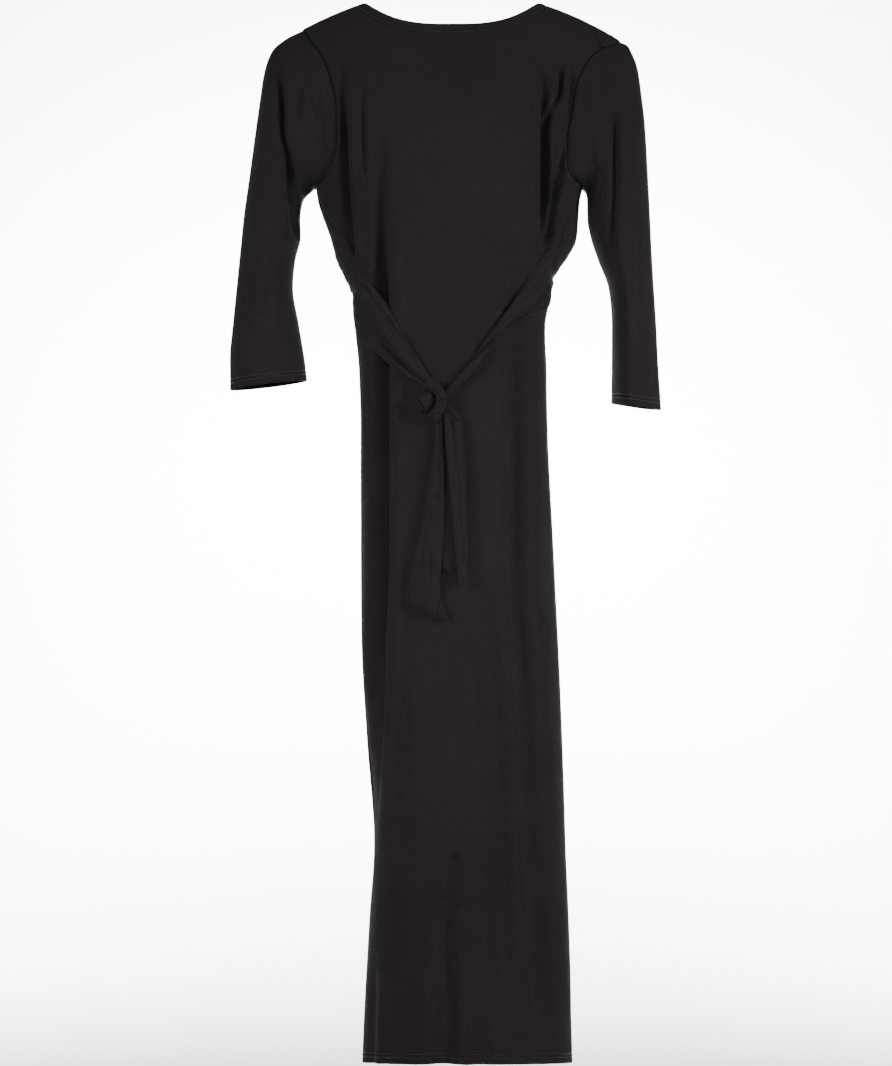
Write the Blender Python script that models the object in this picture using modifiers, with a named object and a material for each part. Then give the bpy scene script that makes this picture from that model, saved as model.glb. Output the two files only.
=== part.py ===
"""A jersey midi dress, hanging in the hollow form of its wearer.

The frame has +Z up and its origin between the two neck points of the shoulders. The back of the
dress faces -Y, the front +Y, and +X is the wearer's right. Lengths are in metres.
"""
from collections import namedtuple

import bpy
import numpy as np
from mathutils import Matrix

MM = 0.001

# Cloth
JERSEY = 1.5 * MM
BAND_JERSEY = 2.0 * MM
SEAM_GAP = 0.4 * MM
SHOULDER_GAP = 0.9 * MM
ARMHOLE_GAP = 0.6 * MM
UNDERARM_GAP = 0.8 * MM
SLEEVE_STRIP = 2 * MM
SHOULDER_COLUMNS = 6
# Columns spread over this turn at the armholes, and over the whole side lower down
NARROW_TURN = np.radians(58)
SIDE_TURN = np.radians(89)
TURNS_NARROW_AT = -140 * MM
TURNS_WIDE_AT = -320 * MM
# Share of a panel's width and of its top that the narrow strip along a seam takes
EDGE_STRIP = 0.006
TOP_STRIP = 0.035
# Folds fade out this near to a seam
HOLD = 14 * MM

# Lengths of the dress
HEM = -1277 * MM
UNDERARM = -225 * MM
BACK_HEM_LIFT = 14 * MM
HEM_LIFT_FROM = -900 * MM

# Shoulders: the ridge falls away outside the neck, and each panel rolls down from it
RIDGE_FLAT_TO = 96 * MM
RIDGE_SLOPE = 0.27
RIDGE_CURVE = 1.9
ROLL_HEIGHT = 140 * MM
RIDGE_DEPTH = 53 * MM
SIDE_ROUNDNESS = 2.2

# Neck: half widths at the band's free edge and at its seam, and the scoop of each
NECK_EDGE = 104.3 * MM
NECK_SEAM = 114 * MM
BACK_SCOOP = 3.0
FRONT_SCOOP = 2.4
BACK_EDGE_DROP = 31 * MM
BACK_SEAM_DROP = 36 * MM
FRONT_EDGE_DROP = 96 * MM
FRONT_SEAM_DROP = 101 * MM

# How a panel is divided: its columns, its rows down to its first level row, then its level
# rows down to the underarm
Division = namedtuple("Division", "columns top_rows level chest_rows")
BACK_DIVISION = Division(24, 5, -78 * MM, 10)
FRONT_DIVISION = Division(22, 7, -140 * MM, 8)
# Rows from the underarm to the gathers, through them and on down to the hem
SIDE_ROWS = 5
GATHER_ROWS = 10
SKIRT_ROWS = 15
CHEST_CLOSING = 1.6

Section = namedtuple("Section", "z left right back front left_seam right_seam")
# Half widths and depths in millimetres, seam angles in degrees from the middle of the back
SECTIONS = [
    Section(0, -260, 260, 53, 53, 90, 90),
    Section(-40, -235, 240, 53, 54, 90, 90),
    Section(-75, -200, 204, 57, 60, 90, 90),
    Section(-130, -176, 174, 66, 75, 90, 90),
    Section(-178, -169, 165, 72, 83, 90, 90),
    Section(-225, -163.5, 158, 75, 86, 89, 89),
    Section(-240, -161, 154.5, 74.5, 85, 83, 83),
    Section(-287, -145.4, 150.5, 70, 79, 67, 60),
    Section(-311, -139.4, 138, 67, 76, 60, 60),
    Section(-335, -128.6, 123.3, 65, 73, 66, 74),
    Section(-359, -118.9, 118.5, 64, 71, 81, 81),
    Section(-395, -116.5, 113, 64, 70, 88, 88),
    Section(-443, -111.7, 113.4, 66, 71, 88, 88),
    Section(-528, -109.3, 116, 72, 74, 88, 88),
    Section(-648, -109.3, 122, 77, 77, 88, 88),
    Section(-769, -108, 128, 79, 78, 88, 88),
    Section(-889, -102, 133, 80, 78, 88, 88),
    Section(-1010, -93.6, 136.5, 81, 79, 88, 88),
    Section(-1100, -98.4, 140, 82, 80, 88, 88),
    Section(-1221, -104.5, 143.8, 83, 82, 88, 88),
    Section(-1277, -106.5, 145.5, 84, 84, 88, 88),
]

Armhole = namedtuple("Armhole", "x z over")
# From the shoulder seam to the underarm; over is -1 on the far side of the ridge, 0 on it
LEFT_BACK_ARMHOLE = [
    Armhole(-181, -36.7, 0), Armhole(-168.5, -52, 1), Armhole(-158.5, -64, 1),
    Armhole(-151, -78, 1), Armhole(-141, -111, 1), Armhole(-136.5, -138, 1),
    Armhole(-136.5, -173, 1), Armhole(-142, -199, 1), Armhole(-150, -216, 1),
    Armhole(-163, -225, 1),
]
LEFT_FRONT_ARMHOLE = [
    Armhole(-181, -36.7, 0), Armhole(-169, -55, 1), Armhole(-157, -80, 1),
    Armhole(-147, -112, 1), Armhole(-141, -146, 1), Armhole(-141, -184, 1),
    Armhole(-147, -208, 1), Armhole(-163, -225, 1),
]
RIGHT_BACK_ARMHOLE = [
    Armhole(180.2, -59.6, 1), Armhole(170, -67.5, 1), Armhole(157.3, -84, 1),
    Armhole(147.6, -108, 1), Armhole(142, -138, 1), Armhole(137, -173, 1),
    Armhole(137, -202, 1), Armhole(144, -218, 1), Armhole(157, -225, 1),
]
RIGHT_FRONT_ARMHOLE = [
    Armhole(180.2, -59.6, -1), Armhole(195, -54.5, -1), Armhole(203, -50.6, 0),
    Armhole(197, -60, 1), Armhole(182, -84, 1), Armhole(166, -111, 1),
    Armhole(152, -146, 1), Armhole(146, -184, 1), Armhole(146.5, -203, 1),
    Armhole(149, -214, 1), Armhole(157, -225, 1),
]

Fold = namedtuple("Fold", "top x0 x1 x2 x3 low width_top width_low depth")
# Troughs: place across at the top, at thirds of the height and at the foot, in millimetres
BACK_FOLDS = [
    Fold(-58, -130, -126, -122, -116, -325, 7, 7, 6),
    Fold(-105, -103, -85.5, -88.5, -92, -1030, 8, 12, 13),
    Fold(-70, 108, 110, 112, 114, -310, 7, 6, 7),
    Fold(-74, 131, 124, 119, 114, -310, 6, 6, 4),
    Fold(-400, 75, 76, 92, 113, -1290, 9, 12, 8),
    Fold(-610, 38, 47, 60, 62, -1260, 10, 10, 6),
    Fold(-1000, 3, -7, -6, -12, -1420, 8, 24, 7),
    Fold(-740, -64, -64, -63, -62, -1060, 10, 10, 3),
]
FRONT_FOLDS = [
    Fold(-120, -98, -101, -108, -116, -330, 9, 7, 6),
    Fold(-180, -70, -82, -96, -112, -345, 9, 7, 5),
    Fold(-110, 104, 106, 110, 116, -325, 9, 7, 6),
    Fold(-190, 62, 78, 96, 112, -345, 9, 7, 5),
    Fold(-340, -112, -96, -84, -80, -900, 8, 14, 8),
    Fold(-345, 112, 94, 84, 88, -1290, 8, 14, 9),
    Fold(-420, 24, 18, 22, 30, -1290, 10, 20, 7),
    Fold(-640, -38, -40, -36, -30, -1420, 10, 22, 6),
]
LEFT_SLEEVE_FOLDS = [
    Fold(-84, -210, -204, -196, -184, -296, 8, 8, 9),
    Fold(-90, -181, -184, -187, -187, -160, 8, 8, 4),
    Fold(-290, -221, -221, -221, -221, -440, 8, 8, 3),
]
RIGHT_SLEEVE_FOLDS = [
    Fold(-86, 196, 191, 190, 190, -370, 7, 7, 7),
    Fold(-70, 180, 181, 182, 183, -180, 7, 7, 3),
]

# Gathers of the front where the ties come out of the side seams
GATHER_TOP = -286 * MM
GATHER_LOW = -366 * MM
GATHER_FADE = 16 * MM
GATHER_PITCH = 16 * MM
GATHER_DEPTH = 1.4 * MM
GATHER_REACH = 34 * MM

Ring = namedtuple("Ring", "in_x in_z out_x out_z depth power skew")
# Sleeve rings after the armhole: inner and outer points, half depth, roundness and skew
LEFT_RINGS = [
    Ring(-166, -227, -199.7, -45.8, 44, 2, 0), Ring(-169, -230.5, -216.5, -60.3, 45, 2, 0),
    Ring(-173, -234, -226.2, -86.8, 45, 2, 0), Ring(-177.5, -239, -231, -118, 45, 2, 0),
    Ring(-180.5, -248, -237, -163, 44, 2, 0), Ring(-182, -263, -243, -208, 43, 2, 0),
    Ring(-181.5, -284, -250.3, -259, 42, 2, 0), Ring(-188, -312, -255.1, -305, 41, 2, 0),
    Ring(-191, -345, -259.3, -347, 40, 2, 0), Ring(-184, -391, -263.5, -389, 40, 2, 0),
    Ring(-177.5, -430, -266.9, -429, 40, 2, 0), Ring(-174, -456.5, -266.5, -468, 40, 2, 0),
]
RIGHT_RINGS = [
    Ring(160.5, -229, 211, -54.8, 44, 2, 0), Ring(161.5, -232.5, 217.3, -63.9, 45, 2, 0),
    Ring(162.5, -237, 223.3, -79.5, 46, 2, 0), Ring(163, -244, 228, -108.4, 46, 2, 0),
    Ring(163, -253, 233, -154, 46, 2, 0), Ring(163.5, -266, 236.5, -212, 46, 2, -2),
    Ring(167, -284, 239, -257, 46, 1.9, -4), Ring(176, -312, 241.4, -305, 47, 1.8, -6),
    Ring(188.5, -347, 243.8, -347, 48, 1.7, -8), Ring(192.5, -389, 246.2, -389, 49, 1.6, -10),
    Ring(192.5, -431, 248, -431, 50, 1.5, -11), Ring(192, -484.4, 252, -491.6, 51, 1.45, -12),
]
CAP_RINGS = 5
# The crest of an armhole is where z and this much of x together are highest
CREST_LEAN = 0.35

Edge = namedtuple("Edge", "upper_x upper_z lower_x lower_z off_upper off_middle off_lower")
# Ties: the two long edges in millimetres and how far each line stands off the back
LEFT_TIE = [
    Edge(-117.2, -319, -117, -380, 1.9, 2.3, 1.9), Edge(-104, -334, -109, -407, 3, 7, 5),
    Edge(-78, -366, -90, -425, 3.5, 9, 7), Edge(-47, -420, -56, -455, 4, 9, 7),
    Edge(-28, -450, -40, -464, 4, 6.2, 4), Edge(-21, -461, -33, -469.5, 4, 6.2, 4),
]
RIGHT_TIE = [
    Edge(115.5, -301, 118.5, -349, 1.9, 2.3, 1.9), Edge(104, -316, 110, -371, 3, 7, 7),
    Edge(82.8, -347, 76, -391, 4, 9, 8), Edge(55.4, -386, 55.4, -408, 4.5, 9, 8),
    Edge(29.5, -425, 29.5, -448, 4.5, 9, 7), Edge(-11, -474, -9, -485, 4, 6.3, 4),
]
LEFT_TAIL = [
    Edge(-21, -505, -13, -502, 4.2, 6.4, 4.2), Edge(-21.5, -530, -9.5, -530, 4.5, 7, 5.5),
    Edge(-27.5, -580, -7.2, -580, 5, 7, 6.2), Edge(-39, -646, -9, -650, 5, 7.5, 6.5),
    Edge(-49.5, -697, -13, -703, 6, 7.5, 6.5), Edge(-52, -720, -2.5, -744, 6, 7, 6.5),
]

Lap = namedtuple("Lap", "back_x back_z fold_x fold_z leaf_x leaf_z off rise")
# The right tail is folded along its length: its back leaf's edge, its fold and its front leaf's
# edge, how far the back leaf stands off the dress and the front leaf off the back leaf
RIGHT_TAIL = [
    Lap(-13, -489, -4, -487, -12, -489, 2.8, 2),
    Lap(-8.5, -512, 9.5, -509, -8.5, -512, 3.5, 3.4),
    Lap(-9, -535, 12.5, -532, -7.4, -535, 3.5, 4.5),
    Lap(-10, -580, 14.3, -576, -2.8, -580, 3.5, 4.5),
    Lap(-10, -640, 16.6, -640, 2.4, -642, 3.5, 4.5),
    Lap(-10.2, -682, 17.4, -697, 8, -701, 3.5, 4.5),
]
# Shares from the back leaf's edge to the fold, and from the fold to the front leaf's edge
BACK_LEAF_SHARES = (0, 0.4, 0.75, 0.95)
FRONT_LEAF_SHARES = (0.05, 0.3, 0.65, 1)
TIE_ROWS, TIE_COLUMNS = 16, 7
LEFT_TAIL_ROWS, LEFT_TAIL_COLUMNS = 12, 5
RIGHT_TAIL_ROWS = 12

# The knot: a wrapped band that curls round a rounded loop of cloth
KNOT_CENTRE = (-31 * MM, -484 * MM)
KNOT_TURN_ACROSS = 18.8 * MM
KNOT_TURN_DOWN = 22.5 * MM
KNOT_TURN_FROM = 98
KNOT_TURN_TO = -58
KNOT_TURN_POINTS = 9
KNOT_BAND_RADIUS = 6.3 * MM
KNOT_BAND_RISE = 13.2 * MM
KNOT_LOOP_CENTRE = (-31.2 * MM, -486 * MM)
KNOT_LOOP_SIZE = (11.4 * MM, 9.5 * MM, 11.8 * MM)
KNOT_LOOP_RISE = 9.8 * MM
KNOT_LOOP_SEGMENTS = 20
KNOT_LOOP_RINGS = 12

JERSEY_COLOUR = (0.022, 0.021, 0.022, 1)
JERSEY_ROUGHNESS = 0.85


def smoothstep(low, high, value):
    """Rise from 0 at low to 1 at high with level ends."""
    t = np.clip((value - low) / (high - low), 0, 1)
    return t * t * (3 - 2 * t)


def smooth(value, xs, ys):
    """Read a smooth curve through a short table, with no overshoot between its rows."""
    xs, ys = np.asarray(xs, float), np.asarray(ys, float)
    step = np.diff(xs)
    rise = np.diff(ys) / step
    product = rise[:-1] * rise[1:]
    slope = np.zeros_like(ys)
    turning = product > 0
    slope[1:-1][turning] = 2 * product[turning] / (rise[:-1] + rise[1:])[turning]
    slope[0], slope[-1] = rise[0], rise[-1]
    i = np.clip(np.searchsorted(xs, value) - 1, 0, len(step) - 1)
    t = np.clip((value - xs[i]) / step[i], 0, 1)
    start = (1 + 2 * t) * (1 - t) ** 2 * ys[i] + t * (1 - t) ** 2 * step[i] * slope[i]
    end = t * t * (3 - 2 * t) * ys[i + 1] + t * t * (t - 1) * step[i] * slope[i + 1]
    return start + end


def section(z, column):
    """Read one column of the body sections at height z."""
    rows = SECTIONS[::-1]
    return smooth(z, [row.z * MM for row in rows], [getattr(row, column) for row in rows])


def middle_and_half(z):
    """Centre and half width of the body at height z."""
    left, right = section(z, "left") * MM, section(z, "right") * MM
    return (left + right) / 2, (right - left) / 2


def ridge(x):
    """Height of the shoulder ridge at x."""
    out = np.maximum(np.abs(x) - RIDGE_FLAT_TO, 0)
    return -RIDGE_SLOPE * out - RIDGE_CURVE * out * out


def roll_from_height(x, z):
    """Angle that a panel has rolled down from the ridge, 0 on it and 90 degrees where it hangs."""
    return np.arccos(1 - np.clip((ridge(x) - z) / ROLL_HEIGHT, 0, 1))


def side_profile(t):
    """How deep the body is at a share t of its half width."""
    return (1 - np.minimum(np.abs(t), 1) ** SIDE_ROUNDNESS) ** (1 / SIDE_ROUNDNESS)


def rolled_point(x, roll, side):
    """Point of the body at x and roll; side is -1 for the back and 1 for the front."""
    z = ridge(x) - ROLL_HEIGHT * (1 - np.cos(roll))
    middle, half = middle_and_half(z)
    depth = section(z, "back" if side < 0 else "front") * MM
    y = side * depth * np.sin(roll) * side_profile((x - middle) / half)
    return np.stack([x, y, z], axis=-1)


def level_point(turn, z, side):
    """Point of the body at a turn across it; the front may pass round the side."""
    middle, half = middle_and_half(z)
    x = middle + half * np.sin(turn)
    own = section(z, "back" if side < 0 else "front") * MM
    far = section(z, "front" if side < 0 else "back") * MM
    profile = side_profile(np.sin(turn)) * np.sin(roll_from_height(x, z))
    y = np.where(np.cos(turn) >= 0, side * own * profile, -side * far * profile)
    lift = BACK_HEM_LIFT * smoothstep(HEM_LIFT_FROM, HEM, z) * np.maximum(-y / 0.08, 0)
    return np.stack([x, y, z + lift], axis=-1)


def back_point(x, z, off):
    """Point that stands off the smooth form of the back at x and z."""
    def surface(x_at, z_at):
        middle, half = middle_and_half(z_at)
        share = np.clip((x_at - middle) / half, -0.995, 0.995)
        return level_point(np.arcsin(share), z_at, -1)

    reach = 2 * MM
    across = surface(x + reach, z) - surface(x - reach, z)
    down = surface(x, z - reach) - surface(x, z + reach)
    return surface(x, z) + unit(np.cross(down, across)) * off[..., None]


def fold_depth(points, folds):
    """Depth of the troughs at each point."""
    x, z = points[..., 0], points[..., 2]
    total = np.zeros_like(x)
    for fold in folds:
        s = (fold.top * MM - z) / ((fold.top - fold.low) * MM)
        path = smooth(s, [0, 1 / 3, 2 / 3, 1], [fold.x0, fold.x1, fold.x2, fold.x3]) * MM
        width = (fold.width_top + (fold.width_low - fold.width_top) * np.clip(s, 0, 1)) * MM
        fade = smoothstep(0, 0.22, s) * smoothstep(0, 0.16, 1 - s)
        total += fold.depth * MM * fade * np.exp(-((x - path) / width) ** 2)
    return total


def unit(vectors):
    """The same directions at length 1."""
    return vectors / np.maximum(np.linalg.norm(vectors, axis=-1, keepdims=True), 1e-12)


def grid_normals(points):
    """Unit normals of a grid whose rows run down and whose columns run across."""
    return unit(np.cross(np.gradient(points, axis=0), np.gradient(points, axis=1)))


def armhole_curve(table):
    """Length along an armhole, with its x, z and signed roll at each row."""
    x = np.array([row.x for row in table]) * MM
    z = np.array([row.z for row in table]) * MM
    over = np.array([row.over for row in table])
    roll = over * roll_from_height(x, z)
    length = np.concatenate([[0], np.cumsum(np.hypot(np.diff(x), np.diff(z) + 1e-9))])
    return length, x, z, roll


def armhole_x(table, z):
    """Place of the armhole's edge at height z, below the ridge."""
    rows = [row for row in table if row.over == 1][::-1]
    return smooth(z, [row.z * MM for row in rows], [row.x * MM for row in rows])


def neck_line(share, side, half, drop):
    """x and roll of the neckline at a share of its half width."""
    scoop = BACK_SCOOP if side < 0 else FRONT_SCOOP
    x = half * share
    z = ridge(half) - drop * (1 - np.abs(share) ** scoop)
    return x, roll_from_height(x, z)


def neck_shares(steps):
    """Shares across the neck, closer together near its two ends."""
    even = np.linspace(-1, 1, steps + 1)
    return 0.4 * even + 0.6 * np.sin(even * np.pi / 2)


def across_shares(columns):
    """Shares across a panel, with a narrow column along each edge."""
    even = np.linspace(0, 1, columns + 1)
    warped = even - 0.3 * np.sin(2 * np.pi * even) / (2 * np.pi)
    return np.concatenate([[0, EDGE_STRIP], warped[1:-1], [1 - EDGE_STRIP, 1]])


def top_edge(side, u, left, right):
    """x and roll along a panel's top: shoulder seam, neckline and shoulder seam."""
    shoulder = np.concatenate([[0, 0.04], np.linspace(0, 1, SHOULDER_COLUMNS)[1:]])
    drop = BACK_SEAM_DROP if side < 0 else FRONT_SEAM_DROP
    shares = neck_shares(len(u) - 1 - 2 * SHOULDER_COLUMNS)
    half = NECK_SEAM + SEAM_GAP
    neck_x, neck_roll = neck_line(shares, side, half, drop)
    left_x = left[1][0] + (-half - left[1][0]) * shoulder
    right_x = right[1][0] + (half - right[1][0]) * shoulder[::-1]
    right_roll = right[3][0] * smoothstep(0.72, 1.0, 1 - shoulder[::-1])
    x = np.concatenate([left_x[:-1], neck_x, right_x[1:]])
    roll = np.concatenate([np.zeros(SHOULDER_COLUMNS), neck_roll, right_roll[1:]])
    middle, half_body = middle_and_half(ridge(x))
    return x, roll + SHOULDER_GAP / 2 / RIDGE_DEPTH / side_profile((x - middle) / half_body)


def seam_turns(z, side, armholes):
    """Turns of a panel's two edges at height z: armholes above the underarm, seams below it."""
    if z > UNDERARM:
        middle, half = middle_and_half(z)
        return [np.arcsin((armhole_x(table, z) - middle) / half) for table in armholes]
    left, right = np.radians(section(z, "left_seam")), np.radians(section(z, "right_seam"))
    if side > 0:
        left, right = np.pi - left, np.pi - right
    gap = SEAM_GAP / 2 / section(z, "back") / MM
    return gap - left, right - gap


def panel_grid(side, u, top_rows, levels, armholes):
    """Grid of a back or front panel, from its shoulders and neckline down to the hem."""
    left, right = (armhole_curve(table) for table in armholes)

    def level_row(z):
        first, last = seam_turns(z, side, armholes)
        widen = 1 - smoothstep(TURNS_WIDE_AT, TURNS_NARROW_AT, z)
        wide = NARROW_TURN + (SIDE_TURN - NARROW_TURN) * widen
        near = 6 - 2 * smoothstep(-UNDERARM, -TURNS_WIDE_AT, -z)
        turn = wide * (2 * u - 1) + (first + wide) * (1 - u) ** near + (last - wide) * u ** near
        return level_point(turn, np.full_like(u, z), side)

    level = levels[0]
    low = level_row(level)
    low_lines = low[:, 0], roll_from_height(low[:, 0], level)
    top_lines = top_edge(side, u, left, right)
    w = np.concatenate([[0, TOP_STRIP], np.linspace(0, 1, top_rows + 1)[1:]])
    edges = []
    for (length, x, z, roll), end in ((left, 0), (right, -1)):
        below = np.argmax(z)
        stop = np.interp(-level, -z[below:], length[below:])
        gap = (top_lines[1][end] - roll[0]) * (1 - w) ** 8
        edges.append((smooth(w * stop, length, x), smooth(w * stop, length, roll) + gap))

    def patch(part):
        """Blend from the top line to the level row, held to the two armhole edges."""
        top, bottom = top_lines[part], low_lines[part]
        rows = (1 - w)[:, None] * top + w[:, None] * bottom
        off_left = edges[0][part] - rows[:, 0]
        off_right = edges[1][part] - rows[:, -1]
        return rows + off_left[:, None] * (1 - u) ** 5 + off_right[:, None] * u ** 5

    upper = rolled_point(patch(0), np.minimum(patch(1), np.pi / 2), side)
    upper[-1] = low
    return np.concatenate([upper, np.stack([level_row(z) for z in levels[1:]])])


def fold_panel(points, folds, side):
    """Push the troughs of a panel in, leaving its edges where the seams need them."""
    step = np.linalg.norm(np.diff(points, axis=1), axis=-1)
    run = np.concatenate([np.zeros((len(points), 1)), np.cumsum(step, axis=1)], axis=1)
    from_edge = np.minimum(run, run[:, -1:] - run)
    hold = smoothstep(0, HOLD, from_edge)
    depth = fold_depth(points, folds) * hold
    if side > 0:
        z = points[..., 2]
        zone = smoothstep(GATHER_LOW, GATHER_LOW + GATHER_FADE, z)
        zone = zone * (1 - smoothstep(GATHER_TOP - GATHER_FADE, GATHER_TOP, z))
        near = np.exp(-(from_edge / GATHER_REACH) ** 2) * hold
        wave = np.sin(2 * np.pi * z / GATHER_PITCH)
        depth = depth + GATHER_DEPTH * zone * near * (1 - wave)
    return points + side * grid_normals(points) * depth[..., None]


def armhole_loop(back_edge, front_edge):
    """Closed loop of an armhole from its crest, its way out, and the turn of each point."""
    pairs = np.concatenate([back_edge, front_edge[-2:0:-1]])
    loop, within = pairs[:, 0], pairs[:, 1]
    crest = np.argmax(loop[:, 2] + CREST_LEAN * np.abs(loop[:, 0]))
    loop, within = np.roll(loop, -crest, axis=0), np.roll(within, -crest, axis=0)
    leave = unit(loop - within)
    step = np.linalg.norm(np.roll(loop, -1, axis=0) - loop, axis=1)
    run = np.concatenate([[0], np.cumsum(step)])
    under = (len(back_edge) - 1 - crest) % len(loop)
    turn = np.where(run[:-1] <= run[under], run[:-1] / run[under],
                    1 + (run[:-1] - run[under]) / (run[-1] - run[under])) * np.pi
    return loop, leave, turn, under


def ring_points(ring, turn):
    """Points round one sleeve ring; a turn of 0 is its outer point and 90 degrees its back."""
    inner = np.array([ring.in_x, 0, ring.in_z]) * MM
    outer = np.array([ring.out_x, 0, ring.out_z]) * MM
    along, deep = np.cos(turn), np.sin(turn)
    power = 2 / ring.power
    along = np.sign(along) * np.abs(along) ** power
    deep = np.sign(deep) * np.abs(deep) ** power
    points = (inner + outer) / 2 + along[:, None] * (outer - inner) / 2
    points[:, 1] -= deep * ring.depth * MM
    points[:, 0] += deep * ring.skew * MM
    return points


def sleeve_grid(rings, folds, back_edge, front_edge, flip):
    """Grid of a sleeve, from the armhole's edge to the cuff."""
    loop, leave, turn, under = armhole_loop(back_edge, front_edge)
    start = Ring(loop[under, 0] / MM, loop[under, 2] / MM, loop[0, 0] / MM, loop[0, 2] / MM,
                 rings[0].depth, 2, 0)
    offset = loop - ring_points(start, turn)
    near_underarm = np.exp(-((turn - np.pi) / 0.7) ** 2)
    gap = ARMHOLE_GAP + UNDERARM_GAP * near_underarm[:, None]
    rows = [loop + leave * gap, loop + leave * (gap + SLEEVE_STRIP)]
    for number, ring in enumerate(rings, start=1):
        fade = max(0.0, 1 - number / CAP_RINGS) ** (2 + 4 * near_underarm)
        rows.append(ring_points(ring, turn) + offset * fade[:, None])
    rows = np.stack(rows)
    depth = fold_depth(rows, folds) * smoothstep(0, 12 * MM, -rows[..., 1])
    depth[:2] = 0
    closed = np.concatenate([rows[:, -1:], rows, rows[:, :1]], axis=1)
    normals = grid_normals(closed)[:, 1:-1] * (-1 if flip else 1)
    return rows - normals * depth[..., None]


def neckband_grid(back_steps, front_steps):
    """Closed grid of the neckband, from its free edge down to its seam."""
    rows = []
    for down in (0, 0.5, 1):
        half = NECK_EDGE + (NECK_SEAM - NECK_EDGE) * down
        halves = []
        for side, steps, edge, seam in ((-1, back_steps, BACK_EDGE_DROP, BACK_SEAM_DROP),
                                        (1, front_steps, FRONT_EDGE_DROP, FRONT_SEAM_DROP)):
            x, roll = neck_line(neck_shares(steps), side, half, edge + (seam - edge) * down)
            halves.append(rolled_point(x, roll, side))
        rows.append(np.concatenate([halves[0], halves[1][-2:0:-1]]))
    return np.stack(rows)


def read_table(table, rows_out):
    """Read every column of a table smoothly at even steps along it, in metres."""
    s = np.linspace(0, len(table) - 1, rows_out)
    return {name: smooth(s, range(len(table)), [getattr(row, name) for row in table])[:, None] * MM
            for name in table[0]._fields}


def ribbon_grid(table, rows_out, columns):
    """Grid of a tie or tail between its two long edges, crowned between them."""
    c = np.linspace(0, 1, columns)
    read = read_table(table, rows_out)
    x = read["upper_x"] + (read["lower_x"] - read["upper_x"]) * c
    z = read["upper_z"] + (read["lower_z"] - read["upper_z"]) * c
    line = read["off_upper"] + (read["off_lower"] - read["off_upper"]) * c
    crown = (read["off_middle"] - (read["off_upper"] + read["off_lower"]) / 2) * 4 * c * (1 - c)
    return back_point(x, z, line + crown)


def folded_tail_grid(table, rows_out):
    """Grid of the right tail: a back leaf, a rounded fold and a front leaf."""
    read = read_table(table, rows_out)
    back, front = np.array(BACK_LEAF_SHARES), np.array(FRONT_LEAF_SHARES)
    x, z = (np.hstack([read["back_" + axis] * (1 - back) + read["fold_" + axis] * back,
                       read["fold_" + axis],
                       read["fold_" + axis] * (1 - front) + read["leaf_" + axis] * front])
            for axis in "xz")
    turn = len(back) + np.array([-2, 0, 2])
    round_fold = np.interp(np.arange(x.shape[1]), turn, [0, 0.5, 1])
    return back_point(x, z, read["off"] + read["rise"] * round_fold)


def jersey_material(name):
    """Dark jersey, one copy for each piece."""
    material = bpy.data.materials.new(name)
    material.use_nodes = True
    shader = material.node_tree.nodes["Principled BSDF"]
    shader.inputs["Base Color"].default_value = JERSEY_COLOUR
    shader.inputs["Roughness"].default_value = JERSEY_ROUGHNESS
    shader.inputs["Metallic"].default_value = 0
    return material


def add_sheet(collection, name, points, wall, closed=False, flip=False):
    """Loft a sheet of cloth over a grid of points and give it its wall."""
    rows, columns = points.shape[:2]
    index = np.arange(rows * columns).reshape(rows, columns)
    if closed:
        index = np.hstack([index, index[:, :1]])
    corners = (index[:-1, :-1], index[1:, :-1], index[1:, 1:], index[:-1, 1:])
    quads = np.stack(corners, axis=-1).reshape(-1, 4)
    if flip:
        quads = quads[:, ::-1]
    mesh = bpy.data.meshes.new(name)
    mesh.from_pydata(points.reshape(-1, 3).tolist(), [], quads.tolist())
    mesh.shade_smooth()
    mesh.materials.append(jersey_material(name))
    sheet = bpy.data.objects.new(name, mesh)
    collection.objects.link(sheet)
    cloth = sheet.modifiers.new("cloth wall", "SOLIDIFY")
    cloth.thickness = wall
    cloth.offset = -1


def add_knot(collection):
    """The wrapped band and the rounded loop of the knot."""
    angles = np.radians(np.linspace(KNOT_TURN_FROM, KNOT_TURN_TO, KNOT_TURN_POINTS))
    x = KNOT_CENTRE[0] + KNOT_TURN_ACROSS * np.cos(angles)
    z = KNOT_CENTRE[1] + KNOT_TURN_DOWN * np.sin(angles)
    line = back_point(x, z, np.full_like(x, KNOT_BAND_RISE))
    curve = bpy.data.curves.new("knot_wrap", "CURVE")
    curve.dimensions = "3D"
    curve.bevel_depth = KNOT_BAND_RADIUS
    curve.bevel_resolution = 3
    curve.use_fill_caps = True
    spline = curve.splines.new("POLY")
    spline.points.add(len(line) - 1)
    for point, place in zip(spline.points, line):
        point.co = (*place, 1)
    curve.materials.append(jersey_material("knot_wrap"))
    wrap = bpy.data.objects.new("knot_wrap", curve)
    collection.objects.link(wrap)

    bpy.ops.mesh.primitive_uv_sphere_add(segments=KNOT_LOOP_SEGMENTS,
                                         ring_count=KNOT_LOOP_RINGS, radius=1)
    loop = bpy.context.object
    loop.name = loop.data.name = "knot_loop"
    loop.data.transform(Matrix.Diagonal((*KNOT_LOOP_SIZE, 1)))
    x, z, rise = (np.array([value]) for value in (*KNOT_LOOP_CENTRE, KNOT_LOOP_RISE))
    loop.location = back_point(x, z, rise)[0]
    loop.data.shade_smooth()
    loop.data.materials.append(jersey_material("knot_loop"))
    for owner in list(loop.users_collection):
        owner.objects.unlink(loop)
    collection.objects.link(loop)


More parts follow.
